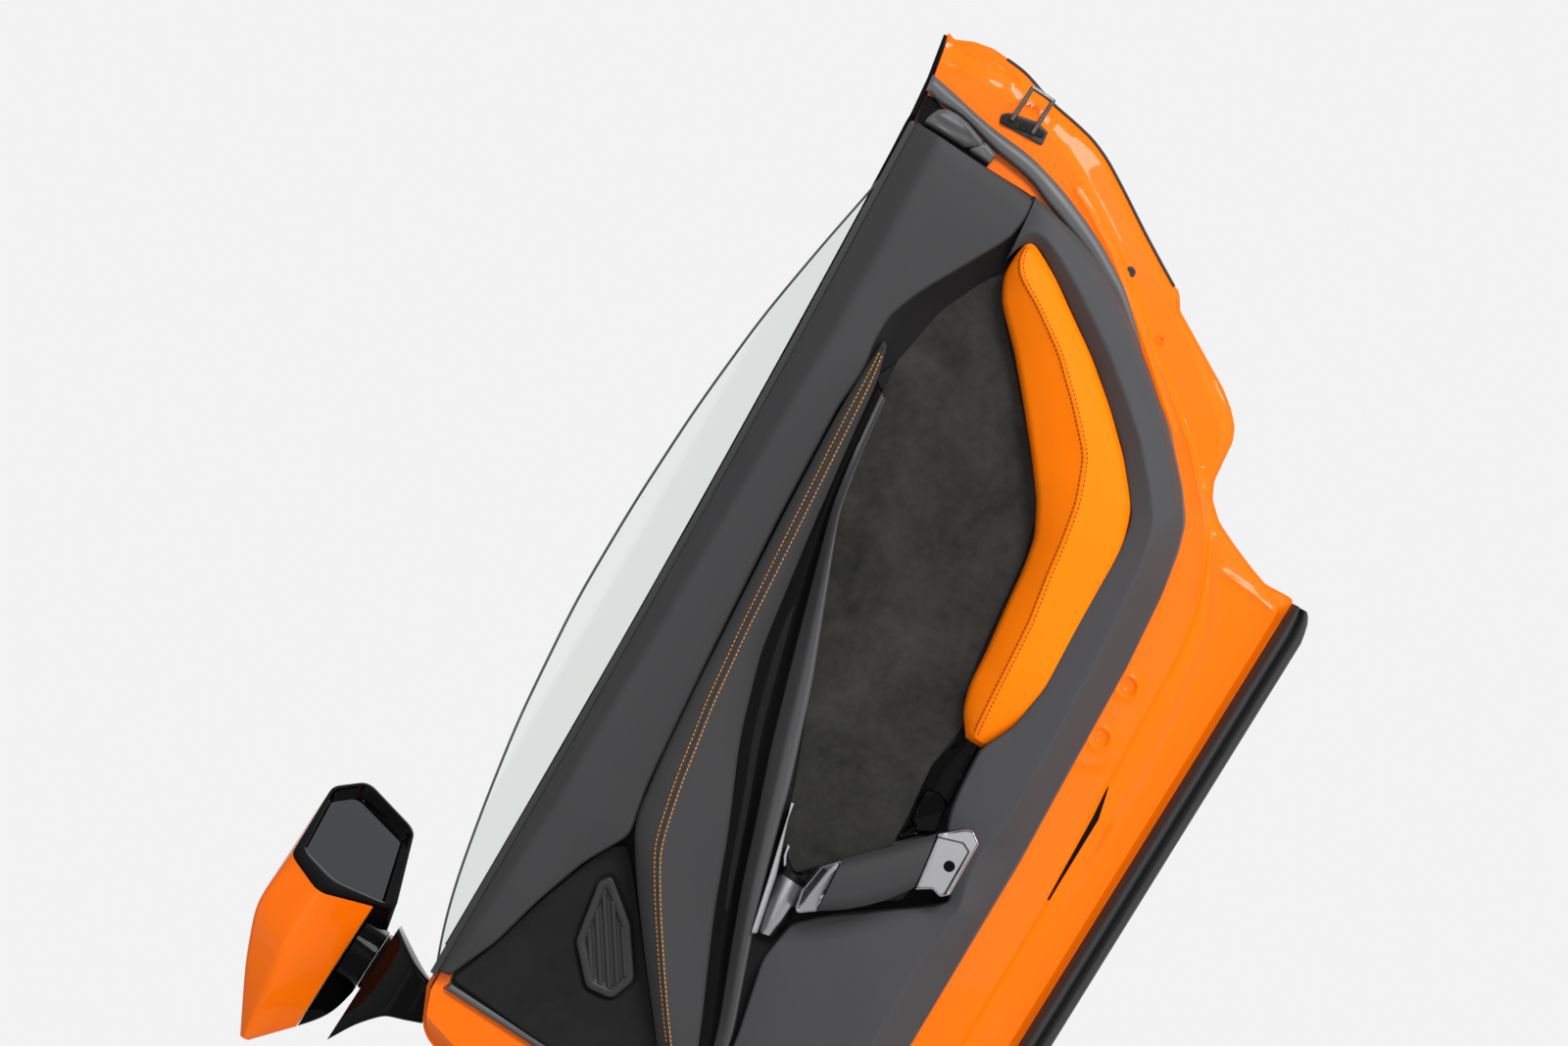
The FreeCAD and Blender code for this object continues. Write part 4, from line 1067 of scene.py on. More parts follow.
    def outline(self, drop: float, rows: Rows) -> list[tuple[float, float, float]]:
        """An outline closed along the belt line, a drop below it."""
        belt = []
        for x, radius in self.belt_corners:
            under = self.seal_drop if x == self.belt_corners[-1][0] else drop
            belt.append((x, float(BELT.height(x)) - under, radius))
        return [tuple(row) for row in rows] + belt

    def loops(self) -> tuple[np.ndarray, np.ndarray, np.ndarray]:
        """Closed loops of the panel's edge, its outer crease and its inner crease."""
        edge = inset_loop(rounded_loop(self.outline(self.panel_drop, self.edge), 6.0, 4.0), self.panel_inset)
        outer = rounded_loop(self.outer_crease, 20.0, 4.0)
        inner = rounded_loop(self.inner_crease, 20.0, 4.0)
        return closed(edge), closed(outer), closed(inner)

    def rim_rise(self, points: np.ndarray) -> np.ndarray:
        """Rise of the pressed panel: flat in the middle, then two steps down to its hem.

        Args:
            points: (n, 2) x, z places.

        Returns:
            (n,) rises, negative outboard.
        """
        edge, outer, inner = self.loops()
        past_inner, past_outer = outward(points, inner), outward(points, outer)
        from_edge = np.maximum(-outward(points, edge), 0.0)
        across = np.clip(past_inner, 0.0, None) / np.maximum(past_inner - np.minimum(past_outer, 0.0), 1e-6)
        past_step = np.clip(past_outer, 0.0, None)
        beyond = past_step / np.maximum(past_step + from_edge, 1e-6)
        rise = np.interp(past_inner, *np.array(self.wall).T)
        rise = rise - self.shelf_fall * np.clip(across, 0.0, 1.0) * (past_inner > 0.0)
        step = np.interp(past_outer, *np.array(self.step).T)
        rise += step - self.hem_fall * np.interp(beyond, [0.0, 0.25, 0.8, 1.0], [0.0, 0.1, 0.5, 1.0])
        for width, height, *line in self.beads:
            along = np.array(line, float).reshape(-1, 2)
            rise += height * np.exp(-0.5 * (line_distance(points, along) / width) ** 2)
        for x, z, radius in self.dimples:
            reach = np.hypot(points[:, 0] - x, points[:, 1] - z) / radius
            rise -= self.dimple_depth * np.exp(-(reach / 0.8) ** 6)
            for height, place, width in self.dimple_rings:
                rise += height * np.exp(-0.5 * ((reach - place) / width) ** 2)
        return np.maximum(rise, -self.rim)

    def crease_points(self) -> np.ndarray:
        """Points along the creases, beads and dimples, so that the mesh keeps them crisp."""
        _, outer, inner = self.loops()
        lines = [inset_loop(inner[:-1], -d) for d, _ in self.wall]
        lines += [inset_loop(outer[:-1], -d) for d, _ in self.step]
        for width, _, *line in self.beads:
            along = np.array(line, float).reshape(-1, 2)
            run = run_of(along)
            places = np.linspace(0.0, run[-1], int(run[-1] / 4.0))
            dense = columns_at(places, run, along)
            tangent = np.gradient(dense, axis=0)
            tangent /= np.linalg.norm(tangent, axis=1, keepdims=True)
            normal = np.stack([-tangent[:, 1], tangent[:, 0]], axis=1)
            lines += [dense + normal * width * d for d in (-2.0, -1.0, 0.0, 1.0, 2.0)]
        for x, z, radius in self.dimples:
            for share in (0.12, 0.25, 0.35, 0.47, 0.6, 0.75, 0.87, 1.0, 1.13, 1.3):
                cosines, sines = circle(max(8, int(30 * share)))
                reach = radius * share
                lines.append(np.stack([x + reach * cosines, z + reach * sines], axis=1))
        return np.concatenate(lines)

    def build_panel(self) -> None:
        """Pressed inner panel, with creases, beads, dimples and a hem."""
        edge, _, _ = self.loops()
        table, triangles = filled(edge[:-1], 9.0, self.crease_points())
        front = np.stack([table[:, 0], -self.rim_rise(table), table[:, 1]], axis=1)
        back = front + np.array([0.0, self.sheet, 0.0])
        back[:, 1] = np.minimum(back[:, 1], self.rim + 0.2)
        count, border = len(table), len(edge) - 1
        faces = list(triangles) + [tuple(count + i for i in face[::-1]) for face in triangles]
        faces += [(i, (i + 1) % border, count + (i + 1) % border, count + i) for i in range(border)]
        make_piece("pressed_panel", np.concatenate([front, back]), faces, Finishes.PAINT,
                   stands_for=["inner_frame"], sharp=24.0)

    def skin_out(self, points: np.ndarray) -> np.ndarray:
        """Outboard distance of the skin's face.

        Args:
            points: (n, 2) x, z places.

        Returns:
            (n,) distances.
        """
        rows = np.array(self.skin, float)
        xs = np.linspace(rows[0, 0], rows[-1, 0], 160)
        even = smoothed(columns_at(xs, rows[:, 0], rows), 14.0)
        out = np.zeros(len(points))
        for shift in np.linspace(-9.0, 9.0, 7):
            nodes = columns_at(points[:, 0], xs, even[:, 1:])
            z = points[:, 1] + shift
            value = nodes[:, 1].copy()
            for k in range(5):
                z_high, z_low = nodes[:, 2 * k], nodes[:, 2 * k + 2]
                share = np.clip((z_high - z) / (z_high - z_low), 0.0, 1.0)
                value += (nodes[:, 2 * k + 3] - nodes[:, 2 * k + 1]) * share
            out += value / 7.0
        return out

    def build_skin(self) -> None:
        """Outer skin: a sculpted face whose edge turns in to the panel's hem."""
        loop = rounded_loop(self.outline(self.seal_drop, self.edge), 6.0, 5.0)
        outer = inset_loop(loop, -self.skin_overhang)
        count = len(outer)
        start = self.rim + 0.3
        edge_y = self.skin_out(outer)
        rings = [np.stack([outer[:, 0], np.full(count, start), outer[:, 1]], axis=1)]
        for inset, drop in self.skin_roll:
            ring = inset_loop(outer, inset)
            rings.append(np.stack([ring[:, 0], np.maximum(edge_y - drop, start + 1.0), ring[:, 1]], axis=1))
        face_loop = inset_loop(outer, 5.0)
        table, triangles = filled(face_loop, 9.0)
        face_y = self.skin_out(table)
        face_y -= 2.0 * np.exp(-line_distance(table, closed(face_loop)) / 6.0)
        first = count * 5
        rings.append(np.stack([table[:, 0], face_y, table[:, 1]], axis=1))
        faces = grid_faces(6, count, wrap=True)
        faces += [tuple(first + i for i in triangle) for triangle in triangles]
        inner = inset_loop(outer, 4.5)
        depth = np.concatenate(rings)
        lining = np.stack([inner[:, 0], np.full(count, start), inner[:, 1]], axis=1)
        faces += [(i, len(depth) + i, len(depth) + (i + 1) % count, (i + 1) % count) for i in range(count)]
        make_piece("sculpted_skin", np.concatenate([depth, lining]), faces, Finishes.PAINT,
                   stands_for=["outer_skin"], sharp=50.0)

    def build_trim(self) -> None:
        """Black tube along the shoulder's hem, a near-black drain slot as painted shade, buffer and body
        plug.
        """
        # A thin black tube along the panel's upper rear edge.
        line = np.array(self.black_hem, float)
        dense = resampled(line, run_of(line), 5.0, 8.0)
        path = np.stack([dense[:, 0], np.full(len(dense), self.rim + 0.4), dense[:, 1]], axis=1)
        make_piece("black_hem_tube", *tube(path, 1.7), Finishes.RUBBER)
        # The drain slot is a flat near-black sheet on the panel: painted shade where a slit would be.
        slot = rounded_loop(self.drain, 3.0, 2.0)
        table, triangles = filled(slot, 3.0)
        points = np.stack([table[:, 0], -self.rim_rise(table) - 0.5, table[:, 1]], axis=1)
        make_piece("drain_slot", points, triangles, Finishes.BLACK_AND_PAINTED_SHADE)
        plugs = (
            ("rim_buffer", (1181, -39), 4.6, 3.2, Finishes.RUBBER),
            ("rim_plug", (1137, -106), 4.8, 1.6, Finishes.PAINT),
        )
        for name, place, radius, height, finish in plugs:
            rise = float(self.rim_rise(np.array([place], float))[0])
            profile = [
                (radius + 1.6, -2.0), (radius + 1.6, 0.5), (radius + 0.8, 1.0), (radius, 1.0),
                (radius - 0.6, height), (radius - 1.8, height),
                (radius - 2.4, height - 1.6), (0.4, height - 1.6),
            ]
            make_piece(name, *turned(profile, place, rise), finish)

    def build(self) -> None:
        """Make the shell's pieces."""
        self.build_panel()
        self.build_skin()
        self.build_trim()


# The card's leather
@dataclass
class Seam:
    """A twin-needle seam along a padded ridge."""

    groove: float = 1.5
    row: float = 4.1
    pitch: float = 4.9
    stitch: float = 3.7
    thread: float = 0.62
    crown: float = 1.5

    RADII = (0.0, 7.0, 18.0, 1.5, 0.9, 0.4, 0.9, 1.5, 22.0, 7.0, 0.0)
    ROW_CORNERS = (3, 7)
    POINTS_A_CORNER = 8

    def profile(self, width: np.ndarray, share: np.ndarray, top: np.ndarray, high: np.ndarray,
                low: np.ndarray) -> list[tuple[object, object]]:
        """Corners of a padded section with the seam on its ridge.

        Args:
            width: width of the piece.
            share: where the seam lies across it.
            top: rise at the first edge.
            high: rise at the seam.
            low: rise at the second edge.

        Returns:
            (distance across, rise) corners.
        """
        at = width * share
        reach = np.minimum(self.row, 0.3 * np.minimum(at, width - at))
        first = high - (high - top) * reach / np.maximum(at, 1.0)
        second = high - (high - low) * reach / np.maximum(width - at, 1.0)
        return [
            (0.0, 0.0), (0.0, top), (at * 0.45, (top + high) / 2.0 + self.crown - 0.05 * (high - top)),
            (at - reach, first), (at - reach * 0.35, high + 0.1), (at, high - self.groove),
            (at + reach * 0.35, high + 0.1), (at + reach, second),
            (at + (width - at) * 0.55, (low + high) / 2.0 + self.crown), (width, low), (width, 0.0),
        ]

    def sew(self, name: str, grid: np.ndarray, finish: Finish, ends: tuple[float, float]) -> None:
        """Lay both rows of stitches on a padded piece.

        Args:
            name: the stitches' name.
            grid: the piece's points.
            finish: the thread.
            ends: shares of the run left bare at its start and end.
        """
        normals = grid_normals(grid)
        start, stop = int(ends[0] * len(grid)), int((1.0 - ends[1]) * len(grid))
        rows = []
        for corner in self.ROW_CORNERS:
            # The point midway round the corner's bend
            column = self.POINTS_A_CORNER * corner - 2
            path, up = grid[start:stop, column], normals[start:stop, column]
            rows.append(stitch_row(path + up * 0.15, up, self.pitch, self.stitch, self.thread))
        make_piece(name, *merged(rows), finish, sharp=180.0)


@dataclass
class CardLeather:
    """Leather pieces of the door card: belt trim, bolster, channel, elbow pad and surround."""

    bolster_seam: Seam
    pad_seam: Seam
    belt_drop: float = 5.1
    gap: float = 0.5
    channel_share: float = 0.56
    return_start: float = 880.0
    surround_hem: tuple[float, float] = (12.0, 10.0)
    belt_rows: Rows = (
        # top x, foot x, foot z, crease share, lower edge share, top, crease, edge and foot rise
        (150, 153, 168, 0.30, 0.90, 12, 18, 16, 12),
        (205, 210, 145, 0.25, 0.94, 16, 32, 28, 18),
        (268, 274, 130, 0.22, 0.95, 18, 40, 34, 20),
        (330, 334, 111, 0.18, 0.96, 18, 44, 36, 22),
        (381, 384, 85, 0.16, 0.97, 18, 46, 38, 24),
        (438, 440, 98, 0.16, 0.97, 18, 46, 38, 26),
        (600, 592, 118, 0.24, 0.98, 18, 46, 40, 28),
        (760, 747, 135, 0.31, 0.98, 18, 46, 40, 28),
        (900, 889, 145, 0.36, 0.96, 18, 46, 41, 28),
        (940, 934, 134, 0.33, 0.86, 18, 46, 41, 14),
        (968, 964, 119, 0.27, 0.67, 18, 46, 41, 6),
        (1000, 997, 114, 0.25, 0.64, 18, 46, 41, 5),
        (1036, 1033, 109, 0.25, 0.72, 18, 46, 41, 5),
        (1080, 1075, 92, 0.21, 0.79, 18, 46, 41, 5),
        (1118, 1108, 76, 0.185, 0.82, 18, 45, 41, 6),
        (1150, 1138, 78, 0.18, 0.92, 18, 44, 40, 9),
        (1184, 1170, 84, 0.185, 0.975, 16, 42, 38, 9),
        (1192, 1190, 90, 0.185, 0.975, 13, 37, 34, 9),
    )
    bolster_rows: Rows = (
        # upper x, z, lower x, z, seam share, upper, seam and lower rise
        (978, 145, 975, 139, 0.5, 30, 36, 28), (940, 145, 935, 126, 0.5, 40, 53, 32),
        (882, 144, 870, 117, 0.52, 44, 60, 30), (760, 134, 748, 97, 0.47, 45, 62, 28),
        (640, 122, 622, 74, 0.39, 46, 62, 28), (560, 114, 536, 44, 0.31, 46, 60, 28),
        (470, 103, 438, -3, 0.27, 44, 58, 30), (398, 91, 370, -31, 0.29, 40, 58, 30),
        (349, 56, 320, -55, 0.30, 36, 56, 30), (292, 10, 266, -82, 0.31, 32, 52, 26),
        (243, -32, 220, -104, 0.33, 28, 44, 24), (206, -63, 190, -120, 0.40, 20, 32, 20),
    )
    channel_rows: Rows = (
        # upper x, z, lower x, z, upper, trough and rim rise
        (938, 128, 926, 108, 16, 10, 9), (872, 120, 862, 98, 14, 8, 12),
        (806, 110, 794, 84, 12, 5, 18), (742, 100, 724, 53, 10, 3, 26),
        (646, 82, 624, 9, 8, 2, 31), (560, 56, 522, -29, 8, 2, 33),
        (486, 20, 455, -50, 8, 2, 33), (418, -8, 395, -70, 8, 2, 31),
        (348, -40, 331, -95, 8, 3, 27), (270, -78, 260, -124, 8, 4, 20),
        (200, -116, 194, -134, 8, 6, 12),
    )
    pad_rows: Rows = (
        # upper x, z, lower x, z, seam share, upper, seam and lower rise
        (1149, 71, 1149, 70, 0.50, 30, 33, 30), (1134, 75, 1146, 60, 0.20, 31, 44, 35),
        (1103, 74, 1130, 28, 0.30, 32, 54, 40), (1078, 60, 1107, -7, 0.50, 32, 60, 42),
        (1041, 20, 1079, -51, 0.56, 32, 63, 43), (1001, -17, 1043, -98, 0.56, 32, 65, 43),
        (957, -56, 1007, -138, 0.56, 32, 66, 44), (919, -87, 966, -175, 0.40, 33, 66, 45),
        (885, -106, 922, -191, 0.30, 34, 66, 45), (850, -114, 868, -194, 0.30, 34, 65, 45),
        (800, -121, 812, -198, 0.36, 33, 63, 44), (750, -129, 756, -204, 0.34, 31, 59, 41),
        (716, -132, 718, -201, 0.38, 29, 52, 36), (688, -141, 688, -191, 0.42, 26, 44, 30),
        (664, -160, 664, -178, 0.40, 22, 32, 26),
    )
    surround_rows: Rows = (
        # inner x, z, outer x, z, ridge and fold shares, inner, ridge and fold rise
        (1110, 81, 1193, 93, 0.34, 0.86, 30, 38, 34), (1142, 76, 1191, 82, 0.30, 0.84, 32, 43, 38),
        (1146, 58, 1188, 64, 0.30, 0.82, 34, 47, 41), (1134, 36, 1182, 32, 0.30, 0.80, 36, 49, 43),
        (1120, 12, 1172, 0, 0.29, 0.80, 36, 50, 44), (1099, -20, 1155, -36, 0.30, 0.82, 36, 51, 45),
        (1072, -60, 1128, -78, 0.32, 0.84, 36, 52, 46), (1042, -98, 1098, -118, 0.34, 0.86, 38, 53, 46),
        (1016, -129, 1062, -162, 0.36, 0.86, 40, 54, 42), (985, -157, 1016, -208, 0.38, 0.84, 43, 55, 34),
        (958, -179, 983, -233, 0.40, 0.82, 46, 55, 28), (938, -185, 953, -243, 0.42, 0.80, 46, 55, 26),
        (906, -189, 908, -253, 0.44, 0.80, 46, 54, 25), (828, -192, 825, -263, 0.50, 0.82, 45, 52, 24),
        (755, -200, 750, -268, 0.50, 0.82, 44, 51, 24), (700, -194, 694, -271, 0.58, 0.84, 42, 50, 24),
        (664, -178, 652, -274, 0.66, 0.86, 40, 50, 24), (616, -183, 608, -277, 0.64, 0.86, 40, 49, 24),
        (592, -187, 588, -278, 0.58, 0.84, 40, 48, 24), (568, -196, 572, -279, 0.50, 0.80, 38, 46, 24),
        (508, -240, 504, -281, 0.30, 0.80, 38, 46, 24), (480, -206, 462, -283, 0.58, 0.84, 38, 47, 24),
        (424, -134, 404, -285, 0.74, 0.90, 32, 48, 24), (398, -110, 360, -286, 0.78, 0.91, 28, 48, 24),
        (350, -104, 320, -287, 0.80, 0.92, 26, 46, 24), (266, -126, 246, -288, 0.80, 0.92, 22, 44, 22),
        (196, -136, 186, -289, 0.80, 0.92, 18, 40, 20), (150, -140, 148, -289, 0.80, 0.92, 14, 34, 18),
    )
    carrier: Rows = (
        (1190, 236, 3), (1192, 96, 10), (1186, 62, 40), (1170, 0, 60), (1126, -78, 60),
        (1060, -162, 60), (1012, -208, 30), (982, -231, 30), (950, -241, 30), (906, -250, 40),
        (822, -260, 60), (604, -274, 60), (148, -286, 8), (146, 164, 8), (300, 182, 200),
        (700, 204, 300), (1000, 222, 300),
    )

    def build_carrier(self) -> None:
        """Dark moulded carrier that shows only in the joints."""
        plate = Plate(self.carrier, rolled_edge(0.2, 4.0, 1.0), spacing=8.0, fill=30.0)
        plate.piece("card_carrier", Finishes.LINING)

    def build_belt_trim(self) -> None:
        """Upper leather along the glass, creased, with a return face over the pocket made near-black as
        painted shade.
        """
        rows = [
            (x1, float(BELT.height(x1)) - self.belt_drop, x2, z2, crease, edge, top, high, low, foot)
            for x1, x2, z2, crease, edge, top, high, low, foot in self.belt_rows
        ]
        Band(
            rows,
            lambda width, v: [(0.0, 0.0), (0.0, v[2]), (width * v[0], v[3]), (width * v[1], v[4]),
                              (width * v[1] + 2.0, v[4] - 5.0), (width * v[1] + 1.0, 0.0)],
            (0.0, 3.0, 7.0, 3.0, 1.5, 0.0), soften=7.0, end_roll=3.0,
        ).piece("belt_leather", Finishes.LEATHER, ["belt_trim"])
        # The return face is the same leather, made near-black: painted shade under the trim's edge.
        lower = []
        for x1, z1, x2, z2, _, edge, _, _, low, foot in rows:
            if x2 >= self.return_start:
                lower.append((x1 + (x2 - x1) * edge, z1 + (z2 - z1) * edge, x2, z2, low, foot))
        Band(
            lower,
            lambda width, v: [(0.0, 0.0), (0.0, v[0] - 2.5), (width * 0.5, (v[0] + v[1]) * 0.5 - 3.0),
                              (width, v[1]), (width, 0.0)],
            (0.0, 1.5, 8.0, 1.5, 0.0), soften=7.0, end_roll=3.0,
        ).piece("belt_return", Finishes.PAINTED_SHADE_LEATHER)

    def build_bolster(self) -> None:
        """Padded bolster with two rows of amber stitches."""
        rows = [(x1, z1 - self.gap, x2, z2, *rest) for x1, z1, x2, z2, *rest in self.bolster_rows]
        band = Band(
            rows, lambda width, v: self.bolster_seam.profile(width, *v),
            Seam.RADII, step=3.0, soften=14.0, end_roll=12.0,
        )
        band.piece("stitched_bolster", Finishes.LEATHER, ["bolster"])
        self.bolster_seam.sew("bolster_stitches", band.grid(), Finishes.AMBER_THREAD, (0.022, 0.02))

    def build_channel(self) -> None:
        """Black channel, darkened further as painted shade in its trough, and the rim that rolls up beside
        the pocket, a lighter copy of the leather as painted light.
        """
        # One leather channel drawn as two pieces: a near-black trough with painted shade and a lighter rim
        # with painted light.
        share = self.channel_share
        trough, rim = [], []
        for x1, z1, x2, z2, upper, low, high in self.channel_rows:
            x, z = x1 + (x2 - x1) * share, z1 + (z2 - z1) * share
            middle = low + (high - low) * 0.30
            trough.append((x1, z1, x + (x2 - x) * 0.1, z + (z2 - z) * 0.1, upper, low, middle))
            rim.append((x, z, x2, z2, middle, high))
        Band(
            trough,
            lambda width, v: [(0.0, 0.0), (0.0, v[0]), (width * 0.55, v[1]), (width, v[2]), (width, 0.0)],
            (0.0, 3.0, 16.0, 0.0, 0.0), soften=14.0, end_roll=8.0,
        ).piece("channel_leather", Finishes.BLACK_AND_PAINTED_SHADE, ["channel_trim"])
        Band(
            rim,
            lambda width, v: [(0.0, 0.0), (0.0, v[0]), (width * 0.50, v[1] - 3.0), (width * 0.84, v[1]),
                              (width * 0.97, v[1] - 3.0), (width, 4.0), (width, 0.0)],
            (0.0, 1.0, 14.0, 5.0, 2.0, 1.0, 0.0), soften=14.0, end_roll=8.0,
        ).piece("channel_rim", Finishes.LIT_RIM_LEATHER)

    def build_pad(self) -> None:
        """Orange elbow pad, swollen between its edges and its seam, with dark stitches."""
        band = Band(
            self.pad_rows, lambda width, v: self.pad_seam.profile(width, *v),
            Seam.RADII, step=3.0, soften=8.0, end_roll=7.0,
        )
        band.piece("elbow_pad_leather", Finishes.ORANGE, ["elbow_pad"])
        self.pad_seam.sew("pad_stitches", band.grid(), Finishes.DARK_THREAD, (0.02, 0.01))

    def build_surround(self) -> None:
        """Leather frame of the card, creased behind the pad; its hem thins down the first rows."""
        high, low = self.surround_hem
        Band(
            [(*row, max(low, high - k)) for k, row in enumerate(self.surround_rows)],
            lambda width, v: [(0.0, 0.0), (0.0, v[2]), (width * v[0], v[3]), (width * v[1], v[4]),
                              (width, v[5]), (width, 0.0)],
            (0.0, 3.0, 3.0, 4.0, 3.0, 0.0), soften=6.0, end_roll=2.0,
        ).piece("surround_leather", Finishes.PALE_LEATHER, ["card_surround"])

    def build(self) -> None:
        """Make the leather pieces."""
        self.build_carrier()
        self.build_belt_trim()
        self.build_bolster()
        self.build_channel()
        self.build_pad()
        self.build_surround()


# Inserts of the card
@dataclass
class CardInserts:
    """Suede pocket, speaker and the trim's end cap."""

    pocket: Rows = (
        (1104, 74), (1088, 89), (1059, 105), (1031, 118), (1010, 124), (945, 118), (868, 108), (800, 91),
        (728, 57), (628, 13), (530, -30), (464, -55), (444, -84), (480, -114), (526, -156),
        (570, -152), (622, -145), (674, -151), (698, -137), (736, -126), (800, -117), (860, -109),
        (914, -92), (964, -49), (1010, -6), (1060, 44), (1098, 68),
    )
    speaker: Rows = (
        (374, 83), (360, 99), (332, 110), (272, 129), (210, 144), (152, 163), (147, 60), (148, -136),
        (188, -122), (206, -64), (243, -32), (292, 10), (346, 56),
    )
    pod: Rows = (
        (338, 80, 7), (324, 88, 7), (258, 74, 12), (222, 38, 14), (226, 8, 12), (256, -2, 12),
        (304, 34, 12),
    )
    slat_angle: float = 36.0
    slat_pitch: float = 9.0
    slat_width: float = 5.2
    end_cap: Rows = (
        (1194, 234, 4), (1203, 233, 6), (1214, 229, 5), (1220, 221, 6), (1221.5, 208, 14),
        (1219.5, 194, 14), (1216, 182, 10), (1212, 170, 4), (1206, 168, 5), (1200, 174, 8), (1194.5, 184, 10),
    )
    neck: Rows = ((1194.5, 178, 3), (1194, 151, 3), (1207, 149, 4), (1212.5, 165, 4), (1208, 176, 3))
    corner: Rows = (
        (1188, 241, 2), (1222, 248, 2), (1224, 238, 3), (1220, 228, 3), (1219, 200, 6), (1212, 176, 4),
        (1207, 153, 3), (1190, 151, 3),
    )

    def build_pocket(self) -> None:
        """Suede stretched over the pocket, with a slight wave."""
        def wave(points: np.ndarray, edge: np.ndarray) -> np.ndarray:
            """Slight wave that fades out to the edge."""
            soft = 1.0 - np.exp(-edge / 18.0)
            return soft * (0.5 * np.sin(points[:, 0] / 47.0) * np.cos(points[:, 1] / 31.0) - 0.4)
        plate = Plate(self.pocket, rolled_edge(0.0, 6.0, 1.0), spacing=4.0, fill=8.0, face=wave)
        plate.piece("pocket_suede", Finishes.SUEDE, ["pocket_panel"])

    def build_speaker(self) -> None:
        """Recessed speaker panel with a slatted pod."""
        pod = closed(rounded_loop(self.pod, 8.0, 3.0))

        def sunk(points: np.ndarray, edge: np.ndarray) -> np.ndarray:
            """Shallow dish, deeper under the pod."""
            under_pod = -5.0 / (1.0 + np.exp(outward(points, pod) - 2.0))
            return under_pod - 2.0 * (1.0 - np.exp(-edge / 14.0))
        plate = Plate(self.speaker, rolled_edge(0.0, 11.0, 2.0), spacing=3.0, fill=4.0, face=sunk)
        plate.piece("speaker_surround", Finishes.LINING, ["speaker_panel"])

        def dished(points: np.ndarray, edge: np.ndarray) -> np.ndarray:
            """Floor sunk inside a raised rim, and crowned a little."""
            return -4.0 / (1.0 + np.exp((7.0 - edge) / 0.7)) + 1.5 * (1.0 - np.exp(-edge / 20.0))
        cover = Plate(self.pod, rolled_edge(5.3, 15.5, 2.5), radius=8.0, spacing=2.0, fill=2.4, face=dished)
        shapes = [cover.shape()]
        inner = closed(inset_loop(pod[:-1], 8.5))
        turn = math.radians(self.slat_angle)
        across = np.array([-math.sin(turn), math.cos(turn)])
        along = np.array([math.cos(turn), math.sin(turn)])
        middle = inner[:-1].mean(axis=0)
        half, span = across * self.slat_width / 2, 90.0
        for k in range(-9, 10):
            reach = np.linspace(-span, span, 361)
            line = middle + across * self.slat_pitch * k + along * reach[:, None]
            held = reach[inside_loop(line, inner)]
            if len(held) < 16:
                continue
            first, last = (line[0] + along * (r + span) for r in (held[0], held[-1]))
            corners = [(*place, 2.0) for place in (first - half, last - half, last + half, first + half)]
            shapes.append(Plate(corners, rolled_edge(10.0, 15.4, 1.6), spacing=1.5, fill=3.0).shape())
        make_piece("speaker_cover", *merged(shapes), Finishes.PLASTIC, stands_for=["speaker_grille"])

    def build_end_cap(self) -> None:
        """Soft moulded cap at the belt trim's rear end, with a neck that runs under the seal, and a
        near-black sheet under them as painted shade in the cavity.
        """
        def fold(points: np.ndarray, edge: np.ndarray) -> np.ndarray:
            """Upright fold, with faint creases near the edge."""
            slant = points[:, 0] - 1211.0 + (points[:, 1] - 205.0) * 0.05
            upright = 2.8 * np.exp(-0.5 * (slant / 3.2) ** 2)
            return upright + 0.7 * np.sin(points[:, 1] / 9.0) * np.exp(-edge / 8.0)

        def creased(points: np.ndarray, edge: np.ndarray) -> np.ndarray:
            """Slanting creases that fade out to the edge."""
            return 1.2 * np.sin((points[:, 1] - points[:, 0]) / 5.0) * (1.0 - np.exp(-edge / 5.0))
        cap = Plate(self.end_cap, rolled_edge(0.0, 18.5, 6.0, 6), spacing=2.0, fill=2.6, face=fold)
        neck = Plate(self.neck, rolled_edge(0.0, 15.0, 5.0, 6), spacing=2.0, fill=2.6, face=creased)
        make_piece("belt_end_moulding", *merged([cap.shape(), neck.shape()]), Finishes.SOFT_RUBBER,
                   stands_for=["belt_end_cap"])
        # Near-black sheet under the cap and neck: painted shade in the cavity there.
        corner = Plate(self.corner, rolled_edge(0.2, 1.8, 0.5), spacing=2.0, fill=4.0)
        corner.piece("corner_painted_shade", Finishes.BLACK_AND_PAINTED_SHADE)

    def build(self) -> None:
        """Make the inserts."""
        self.build_pocket()
        self.build_speaker()
        self.build_end_cap()


